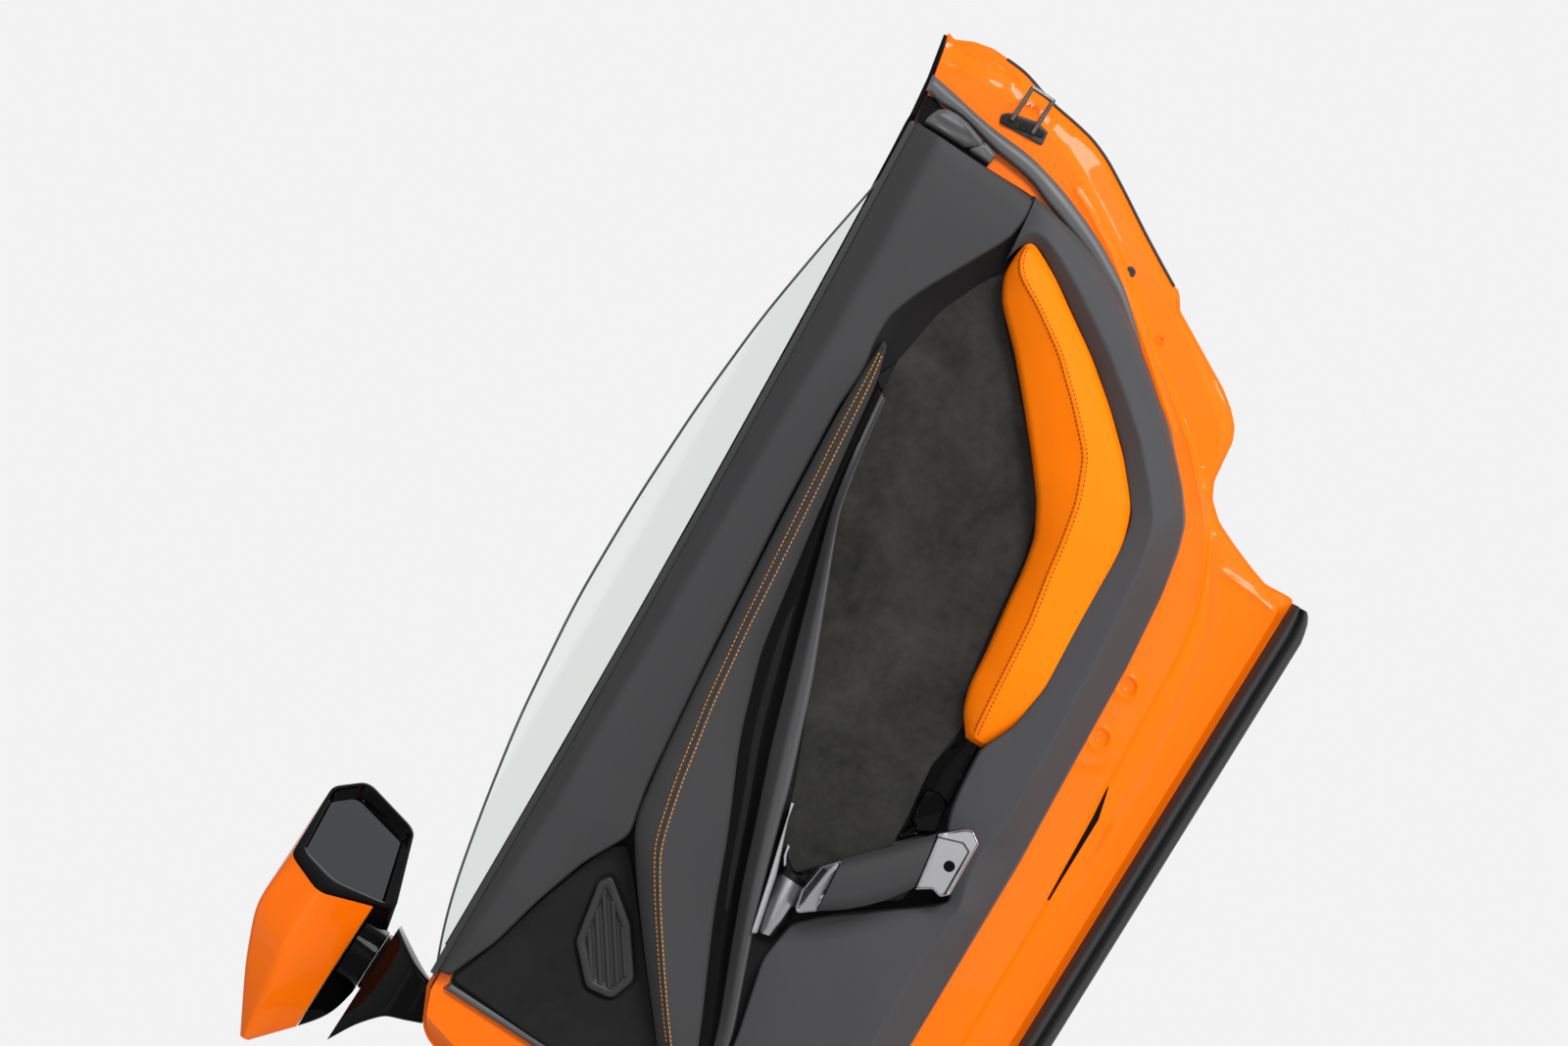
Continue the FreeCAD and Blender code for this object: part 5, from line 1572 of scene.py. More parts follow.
@dataclass
class Seals:
    """Rubber seals round the card and along the sill."""

    perimeter: Rows = (
        # inner x, z, outer x, z, rise
        (1226, 251, 1244, 254, 12), (1224, 239, 1242, 240, 13), (1221, 229, 1240, 226, 14),
        (1222.5, 217, 1238, 214, 14), (1222, 203, 1235, 200, 14), (1218, 184, 1232, 180, 15),
        (1214, 168, 1230, 164, 15), (1210, 149, 1229, 146, 14), (1208, 130, 1228, 127, 13),
        (1206, 112, 1225, 107, 12), (1202, 96, 1221, 92, 11), (1195, 80, 1217, 76, 11),
        (1189, 60, 1210, 55, 11), (1181, 34, 1200, 29, 10), (1172, 8, 1188, 2, 10),
        (1160, -16, 1175, -22, 10), (1150, -38, 1162, -44, 10), (1130, -66, 1138, -72, 9),
        (1104, -100, 1108, -104, 8), (1058, -162, 1062, -166, 8), (1012, -208, 1015, -212, 8),
        (984, -229, 987, -234, 8), (953, -239, 955, -245, 8), (906, -249, 906, -255, 8),
        (822, -259, 822, -265, 8), (744, -264, 744, -270, 8), (584, -275, 584, -281, 8),
        (360, -282, 360, -288, 8), (152, -285, 146, -292, 8), (149, -278, 141, -280, 8),
        (150, -140, 141, -140, 8), (147, 60, 138, 60, 8), (147, 163, 138, 166, 8),
    )
    sill_profile: Rows = (
        # y, drop below the skin's edge
        (9, 0.3), (4, 3), (-1, 7), (-2, 11), (2, 14.5), (7, 15.5), (3, 17), (-3, 21), (-4, 26),
        (1, 29.5), (9, 30), (15, 24), (24, 30), (31, 14), (34, 0.3),
    )
    sill_radii: Sequence[float] = (0, 3, 3, 3, 2, 0.6, 2, 3, 4, 3, 4, 3, 4, 5, 0)
    sill_taper: Rows = (
        # x, share of the profile's height
        (150, 1), (170, 1), (300, 1), (450, 1), (600, 1), (750, 1), (900, 1), (944, 1),
        (955, 0.93), (965, 0.84), (972, 0.72), (976, 0.60),
    )
    sill_front: tuple[float, float] = (140.0, -392.0)
    sill_rear: tuple[float, float] = (980.0, -380.0)
    overhang: float = -1.5

    def build_perimeter(self) -> None:
        """Seal round the card: a broad soft band at the shoulder that tucks under the leather."""
        Band(
            self.perimeter,
            lambda width, v: [(0.0, 0.0), (0.0, v[0] * 0.66), (width * 0.14, v[0] * 0.92),
                              (width * 0.55, v[0]), (width * 0.86, v[0] * 0.78),
                              (width, v[0] * 0.34), (width, 0.0)],
            (0.0, 2.0, 3.0, 7.0, 4.0, 2.0, 0.0), step=4.0, soften=5.0, end_roll=3.0,
        ).piece("card_seal", Finishes.SOFT_RUBBER, ["perimeter_seal"])

    def build_sill(self) -> None:
        """Double lip along the sill."""
        slope = (self.sill_rear[1] - self.sill_front[1]) / (self.sill_rear[0] - self.sill_front[0])
        xs, shares = np.array(self.sill_taper, float).T
        profile = np.array(self.sill_profile, float)
        rows = []
        for x, share in zip(xs, shares):
            top = self.sill_front[1] + slope * (x - self.sill_front[0]) - self.overhang
            rows.append(np.stack([profile[:, 0], top - profile[:, 1] * share], axis=1))
        section = rounded_profile(np.stack(rows), self.sill_radii, around=4, span=1)
        along = np.broadcast_to(xs[:, None, None], section.shape[:2] + (1,))
        make_piece("sill_lips", *closed_grid(np.concatenate([along, section], axis=2)),
                   Finishes.RUBBER, stands_for=["sill_seal"])

    def build(self) -> None:
        """Make the seals."""
        self.build_perimeter()
        self.build_sill()


@dataclass
class Glass:
    """Curved side glass with a ground edge."""

    arc: Rows = (
        # distance along and above the belt of the glass's free edge
        (14, -4), (60, 13), (120, 27), (200, 40), (300, 53), (440, 61.5), (560, 59), (680, 51.5),
        (800, 38), (900, 20), (970, 5.5), (1008, -2),
    )
    below: float = 8.0
    strip: Rows = (
        # x, inboard face, then lower and upper place above the belt
        (177, 14.6, 2.4, 4.8), (700, 14.6, 2.4, 5.2), (1150, 14.6, 2.4, 5.8), (1188, 14.6, 2.4, 6.4),
        (1194, 8, -1.4, 5.6), (1240, 6, 4.2, 9.2), (1288, 6, 12.2, 16.6),
    )
    strip_back: float = 36.0

    def build_strip(self) -> None:
        """Slim gloss strip outboard of the glass, down to the rear tip."""
        rows = np.array(self.strip, float)
        dense = resampled(rows, run_of(rows[:, :1]), 4.0, 2.0)
        x, face, low, high = dense.T
        belt, back, bevel = BELT.height(x), np.full(len(x), self.strip_back), 0.7
        corners = (
            (face, low + bevel), (face + bevel, low), (back - bevel, low), (back, low + bevel),
            (back, high - bevel), (back - bevel, high), (face + bevel, high), (face, high - bevel),
        )
        grid = np.stack([np.stack([x, y, belt + up], axis=1) for y, up in corners], axis=1)
        make_piece("gloss_belt_strip", *closed_grid(grid), Finishes.GLOSS, stands_for=["belt_moulding"])

    def build(self) -> None:
        """Make the glass, its edge and the strip outboard of it."""
        self.build_strip()
        rows = np.array(self.arc, float)
        dense = resampled(rows, run_of(rows), 12.0, 26.0)
        slope = math.radians(BELT.slope)
        levels = np.linspace(0.0, 1.0, 9)

        def at(along: np.ndarray, up: np.ndarray, inward: float) -> np.ndarray:
            """Points of the glass, along and above the belt and inward of its outer face."""
            lean = math.radians(BELT.glass_lean)
            angle = np.arcsin(np.clip((up + BELT.glass_radius * math.sin(lean)) / BELT.glass_radius, -1, 1))
            out = BELT.out(up) - inward * np.cos(angle)
            rise = up - inward * np.sin(angle)
            x = BELT.start[0] + along * math.cos(slope) - rise * math.sin(slope)
            z = BELT.start[1] + along * math.sin(slope) + rise * math.cos(slope)
            return np.stack([x, out, z], axis=-1)
        low = -self.below - BELT.sag * 0.5
        along = np.broadcast_to(dense[:, 0:1], (len(dense), len(levels)))
        up = low + (dense[:, 1:2] - low) * levels[None, :]
        outer, inner = at(along, up, 0.0), at(along, up, BELT.glass_thickness)
        ring = np.concatenate([outer, inner[:, ::-1]], axis=1)
        make_piece("curved_glass", *closed_grid(ring), Finishes.GLASS, stands_for=["side_glass"])
        rim = []
        for share, lift in ((0.06, 0.0), (0.0, 0.25), (0.3, 0.75), (0.7, 0.75), (1.0, 0.25), (0.94, 0.0)):
            rim.append(at(dense[:, 0], dense[:, 1] + lift + 0.12, BELT.glass_thickness * share))
        make_piece("glass_edge", *closed_grid(np.stack(rim, axis=1)), Finishes.GLASS_EDGE)


# Handle, lever, switch and striker
@dataclass
class Fittings:
    """Small fittings that a hand or the latch takes hold of."""

    rear_seam: Rows = ((564, -185), (501, -196))
    front_seam: Rows = ((486, -116), (425, -123))
    rear_end: Rows = (
        (564, -186, 2), (584, -208, 5), (587, -216, 5), (578, -229, 6), (516, -232, 5), (508, -224, 5),
        (511, -213, 4), (500, -197, 2),
    )
    rear_facet: Rows = (
        (558, -178, 2), (492, -186, 2), (500, -226, 2), (512, -228, 2), (566, -225, 4), (571, -214, 3),
    )
    front_end: Rows = ((486, -117, 1), (468, -102, 5), (436, -98, 6), (410, -104, 5), (425, -123, 2))
    front_crease: Rows = ((484, -117), (412, -106))
    cup: Rows = ((478, -112), (558, -180), (502, -199), (482, -197), (430, -128))
    switch_cup: Rows = (
        (690, -148), (660, -153), (622, -146), (584, -150), (556, -156), (530, -154), (562, -184),
        (602, -183), (666, -176),
    )
    switch: Rows = (
        (596, -152, 5), (601, -168, 4), (592, -182, 4), (562, -187, 4), (553, -170, 4), (560, -158, 4),
    )
    lever: Rows = (
        (510, -40, 1), (490, -44, 30), (430, -61, 60), (366, -78, 3),
        (370, -84, 3), (434, -68, 60), (476, -52, 40), (502, -42.5, 20),
    )
    hook: Rows = ((468, -60, 1), (465, -65, 2), (457, -66, 2), (446, -72, 2), (443, -70, 1), (454, -63, 2))
    drum: Rows = (
        # upper x, z, lower x, z, middle rise
        (438, -69, 438, -102, 22), (430, -69, 431, -103, 22), (410, -72, 414, -105, 21),
        (388, -77, 394, -106, 19), (370, -83, 376, -104, 16),
    )
    collar: Rows = ((445, -69, 443, -101, 25), (437, -68, 436, -103, 25))
    lever_plate: Rows = (
        (512, -42), (470, -66), (448, -86), (470, -106), (430, -100), (398, -106), (372, -94),
        (396, -74), (446, -52),
    )
    striker: Rows = (
        (1247, 168, 2), (1252, 162, 2), (1259, 132, 3), (1257, 119, 3), (1250, 117, 2), (1239, 164, 3),
    )
    striker_pad: Rows = (
        (1248, 169, 2), (1254, 163, 3), (1262, 132, 4), (1259, 116, 3), (1243, 114, 3), (1239, 166, 3),
    )
    bezel_screw: tuple[float, float] = (541, -215)
    striker_screw: tuple[float, float] = (1249, 141)
    bezel_head: Rows = (
        # radius, height
        (6.0, -2.0), (6.0, 0.5), (5.2, 0.9), (4.6, 0.2), (4.2, 0.2), (3.8, 1.2), (2.7, 1.3),
        (2.3, -1.0), (0.4, -1.2),
    )
    striker_head: Rows = (
        # radius, height
        (4.5, -0.5), (4.5, 1.6), (4.0, 2.4), (2.6, 2.5), (2.3, 1.0), (0.3, 0.9),
    )

    def build_grip(self) -> None:
        """Leather grip of the pull handle, rounded like a bar."""
        rear, front = np.array(self.rear_seam, float), np.array(self.front_seam, float)
        rows = []
        for share in (0.0, 0.04, 0.25, 0.5, 0.75, 0.96, 1.0):
            first, second = front[0] + (rear[0] - front[0]) * share, front[1] + (rear[1] - front[1]) * share
            bow = 4.0 * share * (1.0 - share)
            first, second = first + np.array([1.0, -1.0]) * bow, second - np.array([4.0, 6.0]) * bow
            rows.append((*first, *second, bow))
        Band(
            rows,
            lambda width, v: [(width * 0.5, 56.0), (width * 0.06, 57.5), (0.0, 66.0),
                              (width * 0.12, 79.0 + v[0]), (width * 0.42, 83.0 + v[0]),
                              (width * 0.80, 80.0 + v[0]), (width, 67.0), (width * 0.94, 57.5),
                              (width * 0.52, 56.0)],
            (0.0, 5.0, 5.0, 8.0, 12.0, 8.0, 5.0, 5.0, 0.0), step=4.0, soften=4.0,
        ).piece("grip_leather", Finishes.LEATHER, ["pull_handle"])

    def build_ends(self) -> None:
        """Satin ends of the pull handle; the rear one has a sunk facet and a screw."""
        facet = rounded_loop(self.rear_facet, 3.0, 1.2)

        def sunk(points: np.ndarray, edge: np.ndarray) -> np.ndarray:
            """Sunk facet on a face that slopes a little."""
            wall = np.interp(outward(points, closed(facet)), [-2.2, 0.0], [-4.6, 0.0])
            return wall + 0.08 * (points[:, 0] - 545.0) - 0.10 * (points[:, 1] + 210.0)
        rear = Plate(
            self.rear_end, rolled_edge(0.0, 69.0, 2.6), spacing=1.5, fill=3.0, face=sunk,
            creases=np.concatenate([facet, inset_loop(facet, 2.2)]),
        )
        rear.piece("grip_end_rear", Finishes.SILVER, ["handle_bezel_rear"], sharp=28.0)
        (x1, z1), (x2, z2) = self.front_crease
        places = np.linspace(0.0, 1.0, 50)
        crease = np.stack([x1 + (x2 - x1) * places, z1 + (z2 - z1) * places], axis=1)
        side = np.array([z2 - z1, x1 - x2]) / math.hypot(x2 - x1, z2 - z1)

        def ridge(points: np.ndarray, edge: np.ndarray) -> np.ndarray:
            """Two slopes that meet along the crease."""
            past = (points - np.array([x1, z1])) @ side
            return np.where(past > 0.0, -0.85 * past, 0.10 * past) + 0.05 * (points[:, 0] - 430.0)
        front = Plate(
            self.front_end, rolled_edge(0.0, 62.0, 2.0), spacing=1.5, fill=3.0, face=ridge, creases=crease,
        )
        front.piece("grip_end_front", Finishes.SILVER, ["handle_bezel_front"], sharp=24.0)
        make_piece("bezel_screw", *turned(self.bezel_head, self.bezel_screw, 66.0), Finishes.BLACK_AND_PAINTED_SHADE)

    def build_cups(self) -> None:
        """Cup behind the grip, switch cup and the rocker in it."""
        cup = Plate(self.cup, rolled_edge(0.0, 5.0, 1.0), spacing=3.0, fill=6.0, face=dip(1.5, 9.0))
        cup.piece("grip_cup", Finishes.PLASTIC, ["handle_cup"])
        cup = Plate(self.switch_cup, rolled_edge(0.0, 10.0, 1.5), spacing=3.0, fill=4.0, face=dip(3.0, 5.0))
        cup.piece("switch_recess", Finishes.GLOSS, ["switch_cup"])
        rocker = Plate(
            self.switch, rolled_edge(7.2, 18.5, 2.0), radius=4.0, spacing=1.5, fill=2.0,
            face=lambda points, edge: 1.4 * np.sin((points[:, 0] + points[:, 1] - 418.0) / 11.0),
        )
        rocker.piece("window_rocker", Finishes.GLOSS, ["window_switch"])

    def build_lever(self) -> None:
        """Release lever: a long slim blade with a hook, and a round drum with a dark collar."""
        blade = Plate(
            self.lever, rolled_edge(5.0, 35.0, 1.6), radius=4.0, spacing=1.5, fill=2.0,
            face=dip(-0.6, 2.0),
        )
        hook = Plate(self.hook, rolled_edge(3.0, 15.0, 1.2), radius=2.0, spacing=1.0, fill=2.0)
        rounds = []
        for rows in (self.drum, self.collar):
            band = Band(
                rows,
                lambda width, v: [(0.0, 3.0), (0.0, v[0] * 0.45), (width * 0.14, v[0] * 0.80),
                                  (width * 0.5, v[0]), (width * 0.86, v[0] * 0.80),
                                  (width, v[0] * 0.45), (width, 3.0)],
                (0.0, 5.0, 6.0, 9.0, 6.0, 5.0, 0.0), step=2.0, soften=2.0,
            )
            rounds.append(closed_grid(band.grid()))
        make_piece("release_blade", *merged([blade.shape(), hook.shape(), rounds[0]]), Finishes.SILVER,
                   stands_for=["release_lever"])
        make_piece("release_collar", *rounds[1], Finishes.DARK_STEEL)
        plate = Plate(
            self.lever_plate, rolled_edge(0.0, 5.0, 1.0), radius=3.0, spacing=2.5, fill=4.0,
            face=dip(1.5, 4.0),
        )
        plate.piece("release_recess", Finishes.GLOSS, ["lever_plate"])

    def build_striker(self) -> None:
        """Striker's plate with a socket screw, on a thick rubber pad."""
        pad = Plate(self.striker_pad, rolled_edge(-3.0, 3.2, 1.2), radius=2.0, spacing=1.5, fill=3.0)
        pad.piece("striker_pad", Finishes.RUBBER)
        plate = Plate(self.striker, rolled_edge(2.6, 5.0, 0.8), radius=2.0, spacing=1.5, fill=3.0)
        screw = turned(self.striker_head, self.striker_screw, 5.0)
        make_piece("striker_foot", *merged([plate.shape(), screw]), Finishes.DARK_STEEL,
                   stands_for=["striker_base"])

    def build(self) -> None:
        """Make the fittings."""
        self.build_grip()
        self.build_ends()
        self.build_cups()
        self.build_lever()
        self.build_striker()


# Mirror
@dataclass
class Mirror:
    """Door mirror: bezel, painted cap, black housing, glass and foot."""

    fold_height: float = 247.0
    split: float = 32.0
    toe: float = 31.0
    corner: tuple[float, float] = (137.0, 92.0)
    band: float = 2.6
    pocket: float = 20.0
    face: Rows = ((15, 91), (46, 139), (192, 147), (237, 117), (206, 43), (60, 10))
    lip: Rows = ((44, 82), (63, 131), (188, 144), (229, 118), (201, 45), (60, 21))
    opening: Rows = ((51, 80), (68, 129), (188, 139), (219, 119), (196, 50), (68, 26))
    glass_depth: float = 12.0
    sections: tuple[Rows, ...] = (
        ((75, 96, 90), (92, 122, 143), (150, 262, 148), (165, 292, 109), (150, 266, 16), (95, 140, -6)),
        ((20, 108, 80), (30, 125, 117), (60, 245, 124), (66, 266, 98), (58, 246, 32), (28, 140, 6)),
        ((-40, 130, 74), (-40, 138, 79), (-40, 215, 83), (-40, 224, 77), (-40, 214, 70), (-40, 142, 68)),
    )
    foot: tuple[Rows, ...] = (
        ((90, 28, 164), (134, 28, 178), (134, 60, 178), (90, 60, 164)),
        ((82, 27, 184), (134, 27, 186), (134, 62, 186), (82, 62, 184)),
        ((74, 36, 204), (140, 33, 206), (142, 74, 204), (76, 76, 202)),
        ((46, 62, 225), (150, 60, 227), (152, 104, 227), (48, 112, 225)),
        ((12, 84, 242), (158, 84, 242), (156, 150, 242), (22, 158, 242)),
    )

    stations: Sequence[float] = (0.0, 62.0, 140.0, 205.0)
    fold_axis: tuple[float, float] = (108.0, 138.0)
    collar: Rows = ((33.0, 0.5), (35.0, 1.6), (35.5, 6.0), (36.0, 28.0))
    boss: Rows = ((34.0, -19.0), (34.0, -2.0), (32.5, 0.0))

    @property
    def base(self) -> np.ndarray:
        """Corner of the face that its places are given from."""
        return np.array([self.corner[0], self.corner[1], self.fold_height])

    @property
    def forward(self) -> np.ndarray:
        """Direction from the face to the nose."""
        toe = math.radians(self.toe)
        return np.array([-math.cos(toe), math.sin(toe), 0.0])

    def on_face(self, rows: Rows, depth: float, share: float = 1.0) -> np.ndarray:
        """Points on the rear face, drawn in by share and moved forward by depth.

        Args:
            rows: distance across and height of each.
            depth: how far in front of the face.
            share: scale about their middle.

        Returns:
            (n, 3) points.
        """
        toe = math.radians(self.toe)
        places = np.array(rows, float)
        middle = places.mean(axis=0)
        places = middle + (places - middle) * share
        across = np.stack([places[:, 0] * math.sin(toe), places[:, 0] * math.cos(toe), places[:, 1]], axis=1)
        return self.base + across + self.forward * depth

    @staticmethod
    def rounded(corners: np.ndarray, radius: float) -> np.ndarray:
        """A loop in space with rounded corners and three points on each straight."""
        count = len(corners)
        points = []
        for i in range(count):
            before, here, after = corners[i - 1], corners[i], corners[(i + 1) % count]
            run_in, run_out = here - before, after - here
            length_in, length_out = np.linalg.norm(run_in), np.linalg.norm(run_out)
            cut = min(radius, 0.40 * length_in, 0.40 * length_out)
            start, end = here - run_in / length_in * cut, here + run_out / length_out * cut
            points += bend(start, here, end, 6)
            next_start = after - run_out / length_out * min(radius, 0.40 * length_out)
            points += [end + (next_start - end) * s for s in (0.25, 0.5, 0.75)]
        return np.array(points)

    def hull(self) -> np.ndarray:
        """(m, k, 3) loops of the head from the rear face to the nose."""
        corners = [self.on_face(self.face, 0.0)]
        corners += [np.array(s, float) + np.array([0.0, 0.0, self.fold_height]) for s in self.sections]
        flat = np.stack(corners).reshape(len(corners), -1)
        length = self.stations[-1]
        even = np.linspace(0.0, length, 83)
        places = np.concatenate([np.linspace(0.0, 180.0, 40), np.linspace(184.0, length, 8)])
        dense = smoothed(columns_at(even, np.array(self.stations), flat), 6.0)
        rows = columns_at(places, even, dense)
        radii = np.interp(places, [0, 30, 150, length], [13.0, 8.0, 7.0, 4.0])
        return np.stack([self.rounded(row.reshape(6, 3), r) for row, r in zip(rows, radii)])

    def from_depth(self, hull: np.ndarray, starts: Sequence[float]) -> list[np.ndarray]:
        """Loops of the head at given depths behind the face."""
        depth = (hull - self.base) @ self.forward
        return [
            np.stack([
                np.array([np.interp(wanted, depth[:, k], hull[:, k, i]) for i in range(3)])
                for k in range(hull.shape[1])
            ])
            for wanted in starts
        ]

    def body(self) -> Shape:
        """The head ahead of the bezel, hollow where the glass sits."""
        hull = self.hull()
        depth = (hull - self.base) @ self.forward
        rings = [self.rounded(self.on_face(self.face, self.pocket, 0.80), 8.0)]
        rings.append(self.rounded(self.on_face(self.face, self.band + 0.8, 0.955), 12.0))
        rings += self.from_depth(hull, (self.band + 0.4, self.band + 1.2, 10.0, 15.0, 20.0))
        rings += [row for row, d in zip(hull, depth) if d.min() > 22.0]
        return closed_grid(np.stack(rings))

    @staticmethod
    def halved(points: np.ndarray, faces: Faces, origin: np.ndarray, normal: np.ndarray) -> Shape:
        """The part of a shape on a plane's far side, closed along the cut.

        Args:
            points: its points.
            faces: its faces.
            origin: a point of the plane.
            normal: points to the side that is taken off.

        Returns:
            Points and faces of what is left.
        """
        work = bmesh.new()
        verts = [work.verts.new(tuple(p)) for p in points]
        for face in faces:
            if len(set(face)) > 2:
                work.faces.new([verts[i] for i in face])
        everything = work.verts[:] + work.edges[:] + work.faces[:]
        cut = bmesh.ops.bisect_plane(
            work, geom=everything, plane_co=tuple(origin), plane_no=tuple(normal), clear_outer=True
        )
        edges = [e for e in cut["geom_cut"] if isinstance(e, bmesh.types.BMEdge)]
        bmesh.ops.edgeloop_fill(work, edges=edges)
        work.verts.index_update()
        kept = np.array([tuple(v.co) for v in work.verts])
        left = [tuple(v.index for v in f.verts) for f in work.faces]
        work.free()
        return kept, left

    def drum(self, profile: Rows) -> Shape:
        """A round form about the fold axis, from radii and heights over the fold."""
        cosines, sines = circle(48)
        x, y = self.fold_axis
        rings = [
            np.stack([x + r * cosines, y + r * sines, np.full(48, self.fold_height + h)], axis=1)
            for r, h in profile
        ]
        return closed_grid(np.stack(rings))

    def build_head(self) -> None:
        """Cap above the split line and housing under it."""
        points, faces = self.body()
        split = np.array([0.0, 0.0, self.fold_height + self.split])
        up = np.array([0.0, 0.0, 1.0])
        cap = self.halved(points, faces, split + up * 0.5, -up)
        make_piece("mirror_painted_cap", *cap, Finishes.PAINT, Body.MIRROR, ["mirror_cap"], sharp=28.0)
        low = self.halved(points, faces, split - up * 0.5, up)
        low = self.halved(*low, np.array([0.0, 0.0, self.fold_height + 0.8]), -up)
        make_piece("mirror_lower_shell", *merged([low, self.drum(self.collar)]), Finishes.GLOSS,
                   Body.MIRROR, ["mirror_housing"], sharp=28.0)

    def build_bezel(self) -> None:
        """Black bezel that funnels in to the glass."""
        hull = self.hull()
        rings = self.from_depth(hull, (self.band, 1.8, 1.0, 0.5))
        outer = ((0.985, 0.25), (0.972, 0.0))
        rings += [self.rounded(self.on_face(self.face, d, s), 13.0) for s, d in outer]
        inner = (
            (self.lip, 0.0, 1.03), (self.lip, 0.5, 1.0), (self.lip, 1.6, 0.992),
            (self.opening, self.glass_depth - 0.6, 1.012), (self.opening, self.glass_depth + 3.0, 1.01),
        )
        rings += [self.rounded(self.on_face(rows, d, s), 11.0) for rows, d, s in inner]
        rings.append(self.rounded(self.on_face(self.face, self.pocket - 1.5, 0.78), 8.0))
        rings.append(self.rounded(self.on_face(self.face, self.band + 1.0, 0.93), 11.0))
        grid = np.stack(rings)
        count = grid.shape[1]
        last = (len(rings) - 1) * count
        faces = grid_faces(len(rings), count, wrap=True)
        faces += [(last + c, last + (c + 1) % count, (c + 1) % count, c) for c in range(count)]
        make_piece("mirror_rim", grid.reshape(-1, 3), faces, Finishes.GLOSS, Body.MIRROR,
                   ["mirror_bezel"], sharp=40.0)

    def build_glass(self) -> None:
        """Silvered glass with a ground edge, its silvering darkened as a painted reflection of dark
        surroundings.
        """
        rings = [
            self.rounded(self.on_face(self.opening, self.glass_depth + deep, share), 10.5)
            for deep, share in ((3.0, 0.994), (0.6, 0.995), (0.0, 0.988))
        ]
        make_piece("silvered_glass", *closed_grid(np.stack(rings)), Finishes.MIRROR, Body.MIRROR,
                   ["mirror_glass"], sharp=30.0)

    def build_foot(self) -> None:
        """Foot on the belt's front end: a broad blade that sweeps up to the fold boss."""
        count = len(self.foot)
        corners = np.array(self.foot, float).reshape(count, -1)
        dense = columns_at(np.linspace(0.0, count - 1.0, 61), np.arange(count), corners)
        loops = [self.rounded(row.reshape(4, 3), 8.0) for row in smoothed(dense, 3.5)]
        make_piece("mirror_stalk", *merged([closed_grid(np.stack(loops)), self.drum(self.boss)]),
                   Finishes.GLOSS, stands_for=["mirror_foot"], sharp=40.0)

    def build(self) -> None:
        """Make the mirror's pieces."""
        self.build_head()
        self.build_bezel()
        self.build_glass()
        self.build_foot()


# The frame's own nodes that stay in view
@dataclass
class KeptNodes:
    """Finishes for the nodes whose solids are shown as they are."""

    finishes: Sequence[tuple[str, Finish]] = (
        ("hinge_bracket", Finishes.CAST), ("hinge_pin", Finishes.STEEL), ("hinge_arm", Finishes.CAST),
        ("strut_cylinder", Finishes.GLOSS), ("strut_rod", Finishes.STEEL),
        ("belt_seal", Finishes.RUBBER),
        ("outer_handle", Finishes.PAINT), ("striker_loop", Finishes.STEEL),
    )

    def build(self) -> None:
        """Dress the nodes."""
        for name, finish in self.finishes:
            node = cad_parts[name]
            node.data.materials.clear()
            node.data.materials.append(finish.material())
            log.info("%s dressed as %s", name, finish.name)


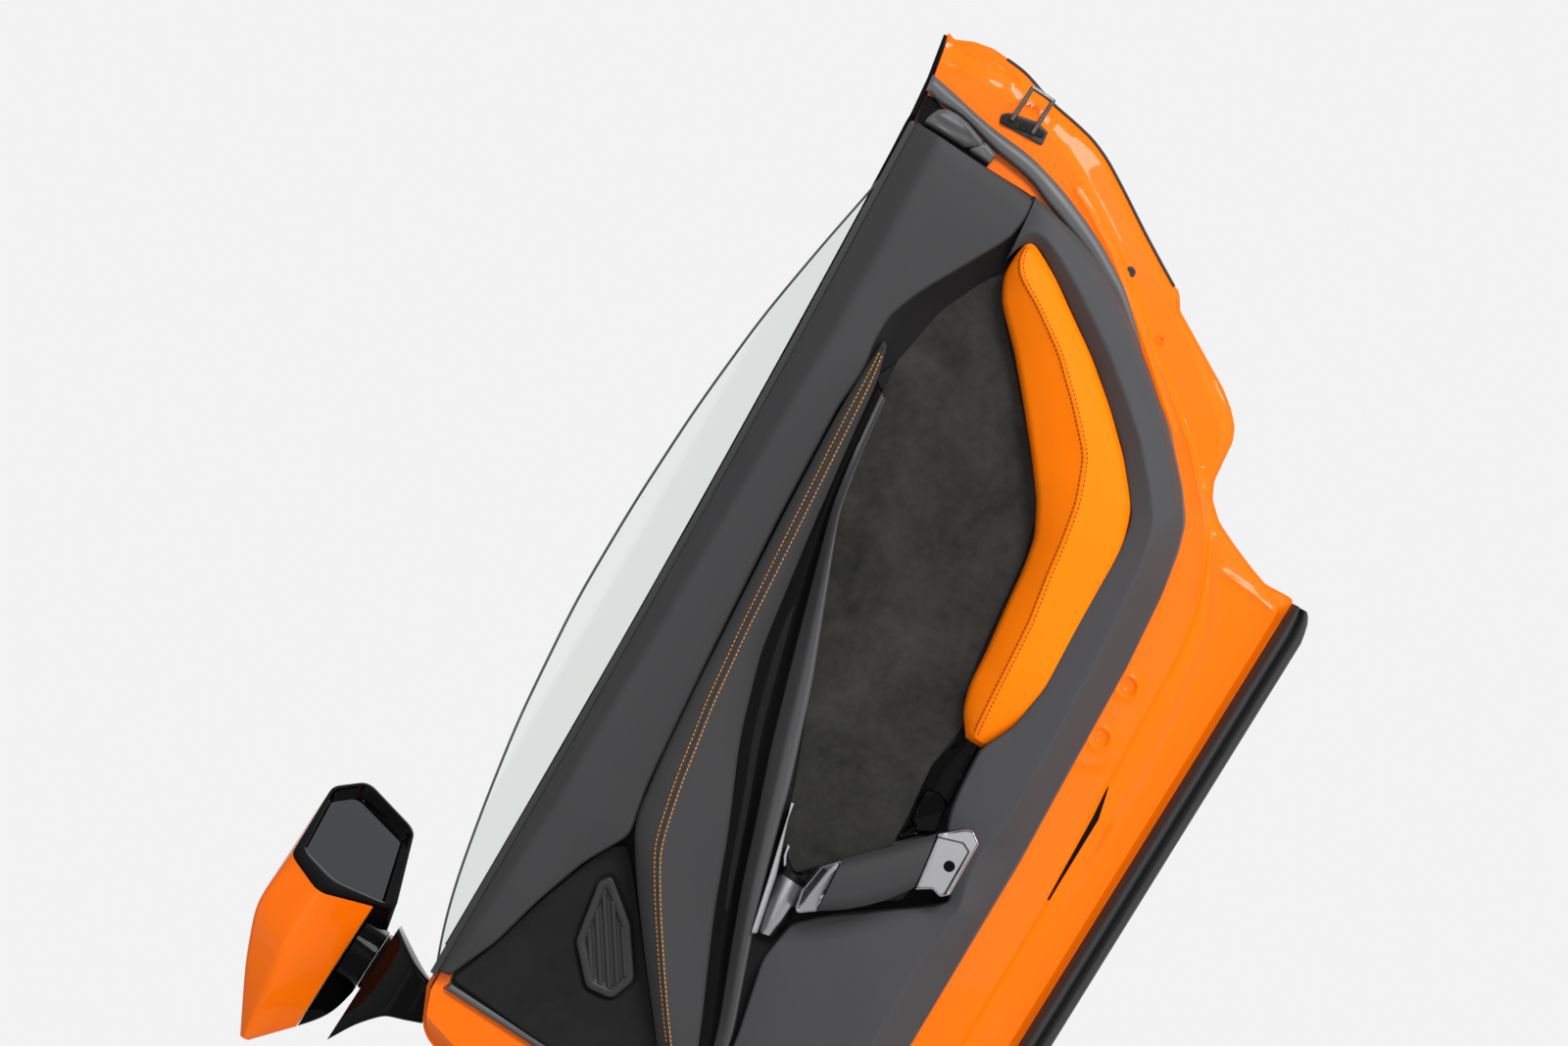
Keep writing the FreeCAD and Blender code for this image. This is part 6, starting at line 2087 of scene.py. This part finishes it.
# Studio
@dataclass
class Studio:
    """Pale studio: world, floor, soft lamps and the camera at the photo's angle."""

    backdrop: float = 0.89
    fill: float = 0.27
    floor_height: float = -0.75
    floor_middle: float = 0.6
    floor_radius: float = 30.0
    floor_fade: tuple[float, float] = (1.2, 3.6)
    camera_place: tuple[float, float, float] = (0.7976, -4.9186, 1.2010)
    camera_azimuth: float = 5.0
    camera_elevation: float = 5.0
    lens: float = 110.0
    lamps: Sequence[tuple] = (
        # name, place, aimed at, size, power
        ("key", (3.4, -3.8, 4.0), (0.6, 0.0, 0.6), (1.8, 1.8), 250.0),
        ("front", (0.4, -5.5, 1.6), (0.7, 0.0, 0.6), (3.5, 2.5), 24.0),
        ("left", (-4.5, -1.5, 2.0), (0.5, 0.0, 0.6), (2.0, 3.0), 16.0),
        ("right strip", (4.8, -0.3, 1.3), (0.7, 0.0, 0.6), (0.03, 3.0), 42.0),
        ("right front strip", (4.2, -2.2, 1.8), (0.7, 0.0, 0.6), (0.05, 2.4), 26.0),
        ("top strip", (1.2, -2.6, 3.6), (0.7, 0.0, 0.6), (3.0, 0.05), 34.0),
        ("back", (1.0, 4.5, 3.0), (0.7, 0.0, 0.6), (3.5, 2.5), 130.0),
    )

    def build_world(self) -> None:
        """World that lights softly and shows as a pale backdrop."""
        world = bpy.data.worlds.new("studio")
        bpy.context.scene.world = world
        world.use_nodes = True
        tree = Tree(world.node_tree)
        world.node_tree.nodes.clear()
        light = tree.add("Background", Color=(1.0, 1.0, 1.0, 1.0), Strength=self.fill)
        show = tree.add("Background", Color=(self.backdrop,) * 3 + (1.0,), Strength=1.0)
        tree.blend(tree.seen(), light, show, "OutputWorld")

    def build_floor(self) -> None:
        """Round floor that keeps the shadow near the door and fades into the backdrop."""
        mesh = bpy.data.meshes.new("studio_floor")
        points = [
            (self.floor_middle + self.floor_radius * c, self.floor_radius * s, self.floor_height)
            for c, s in zip(*circle(96))
        ]
        mesh.from_pydata(points, [], [tuple(range(len(points)))])
        floor = add_object("studio_floor", mesh)
        made = bpy.data.materials.new("pale floor")
        made.use_nodes = True
        tree = Tree(made.node_tree)
        made.node_tree.nodes.clear()
        place = tree.add("TexCoord")
        away = tree.add("VectorMath", operation="DISTANCE")
        away.inputs[1].default_value = (self.floor_middle, 0.0, self.floor_height)
        tree.join(place.outputs["Object"], away.inputs[0])
        near, far = self.floor_fade
        fade = tree.add("MapRange", From_Min=near, From_Max=far)
        tree.join(away.outputs["Value"], fade.inputs["Value"])
        plain = tree.add("BsdfDiffuse", Color=(0.80, 0.80, 0.80, 1.0))
        glow = tree.add("Emission", Color=(self.backdrop,) * 3 + (1.0,), Strength=1.0)
        shown = tree.maths("MULTIPLY", fade.outputs[0], tree.seen())
        tree.blend(shown, plain, glow, "OutputMaterial")
        mesh.materials.append(made)

    def build_lamps(self) -> None:
        """Soft boxes round the door."""
        for name, place, target, size, power in self.lamps:
            lamp = bpy.data.lights.new(name, "AREA")
            lamp.shape = "RECTANGLE"
            lamp.size, lamp.size_y = size
            lamp.energy = power
            holder = add_object(name, lamp)
            holder.location = place
            holder.rotation_euler = (Vector(target) - Vector(place)).to_track_quat("-Z", "Y").to_euler()
            holder.visible_camera = False

    def build_camera(self) -> None:
        """Camera at the photo's angle and distance."""
        data = bpy.data.cameras.new("camera")
        data.lens = self.lens
        data.clip_start, data.clip_end = 0.05, 100.0
        camera = add_object("camera", data)
        azimuth, elevation = math.radians(self.camera_azimuth), math.radians(self.camera_elevation)
        level = math.cos(elevation)
        back = Vector((math.sin(azimuth) * level, -math.cos(azimuth) * level, math.sin(elevation)))
        camera.location = self.camera_place
        camera.rotation_euler = (-back).to_track_quat("-Z", "Y").to_euler()
        bpy.context.scene.camera = camera

    def build(self) -> None:
        """Make the studio."""
        self.build_world()
        self.build_floor()
        self.build_lamps()
        self.build_camera()
        bpy.context.scene.view_settings.view_transform = "Standard"


def main() -> None:
    """Build the door's looks and the studio."""
    logging.basicConfig(level=logging.INFO, format="%(name)s: %(message)s")
    assemblies = (
        Shell(), CardLeather(Seam(), Seam(row=2.5, groove=1.0)), CardInserts(), Seals(), Glass(), Fittings(),
        Mirror(), KeptNodes(), Studio(),
    )
    for assembly in assemblies:
        log.info("building %s", type(assembly).__name__)
        assembly.build()


if __name__ == "__main__":
    main()
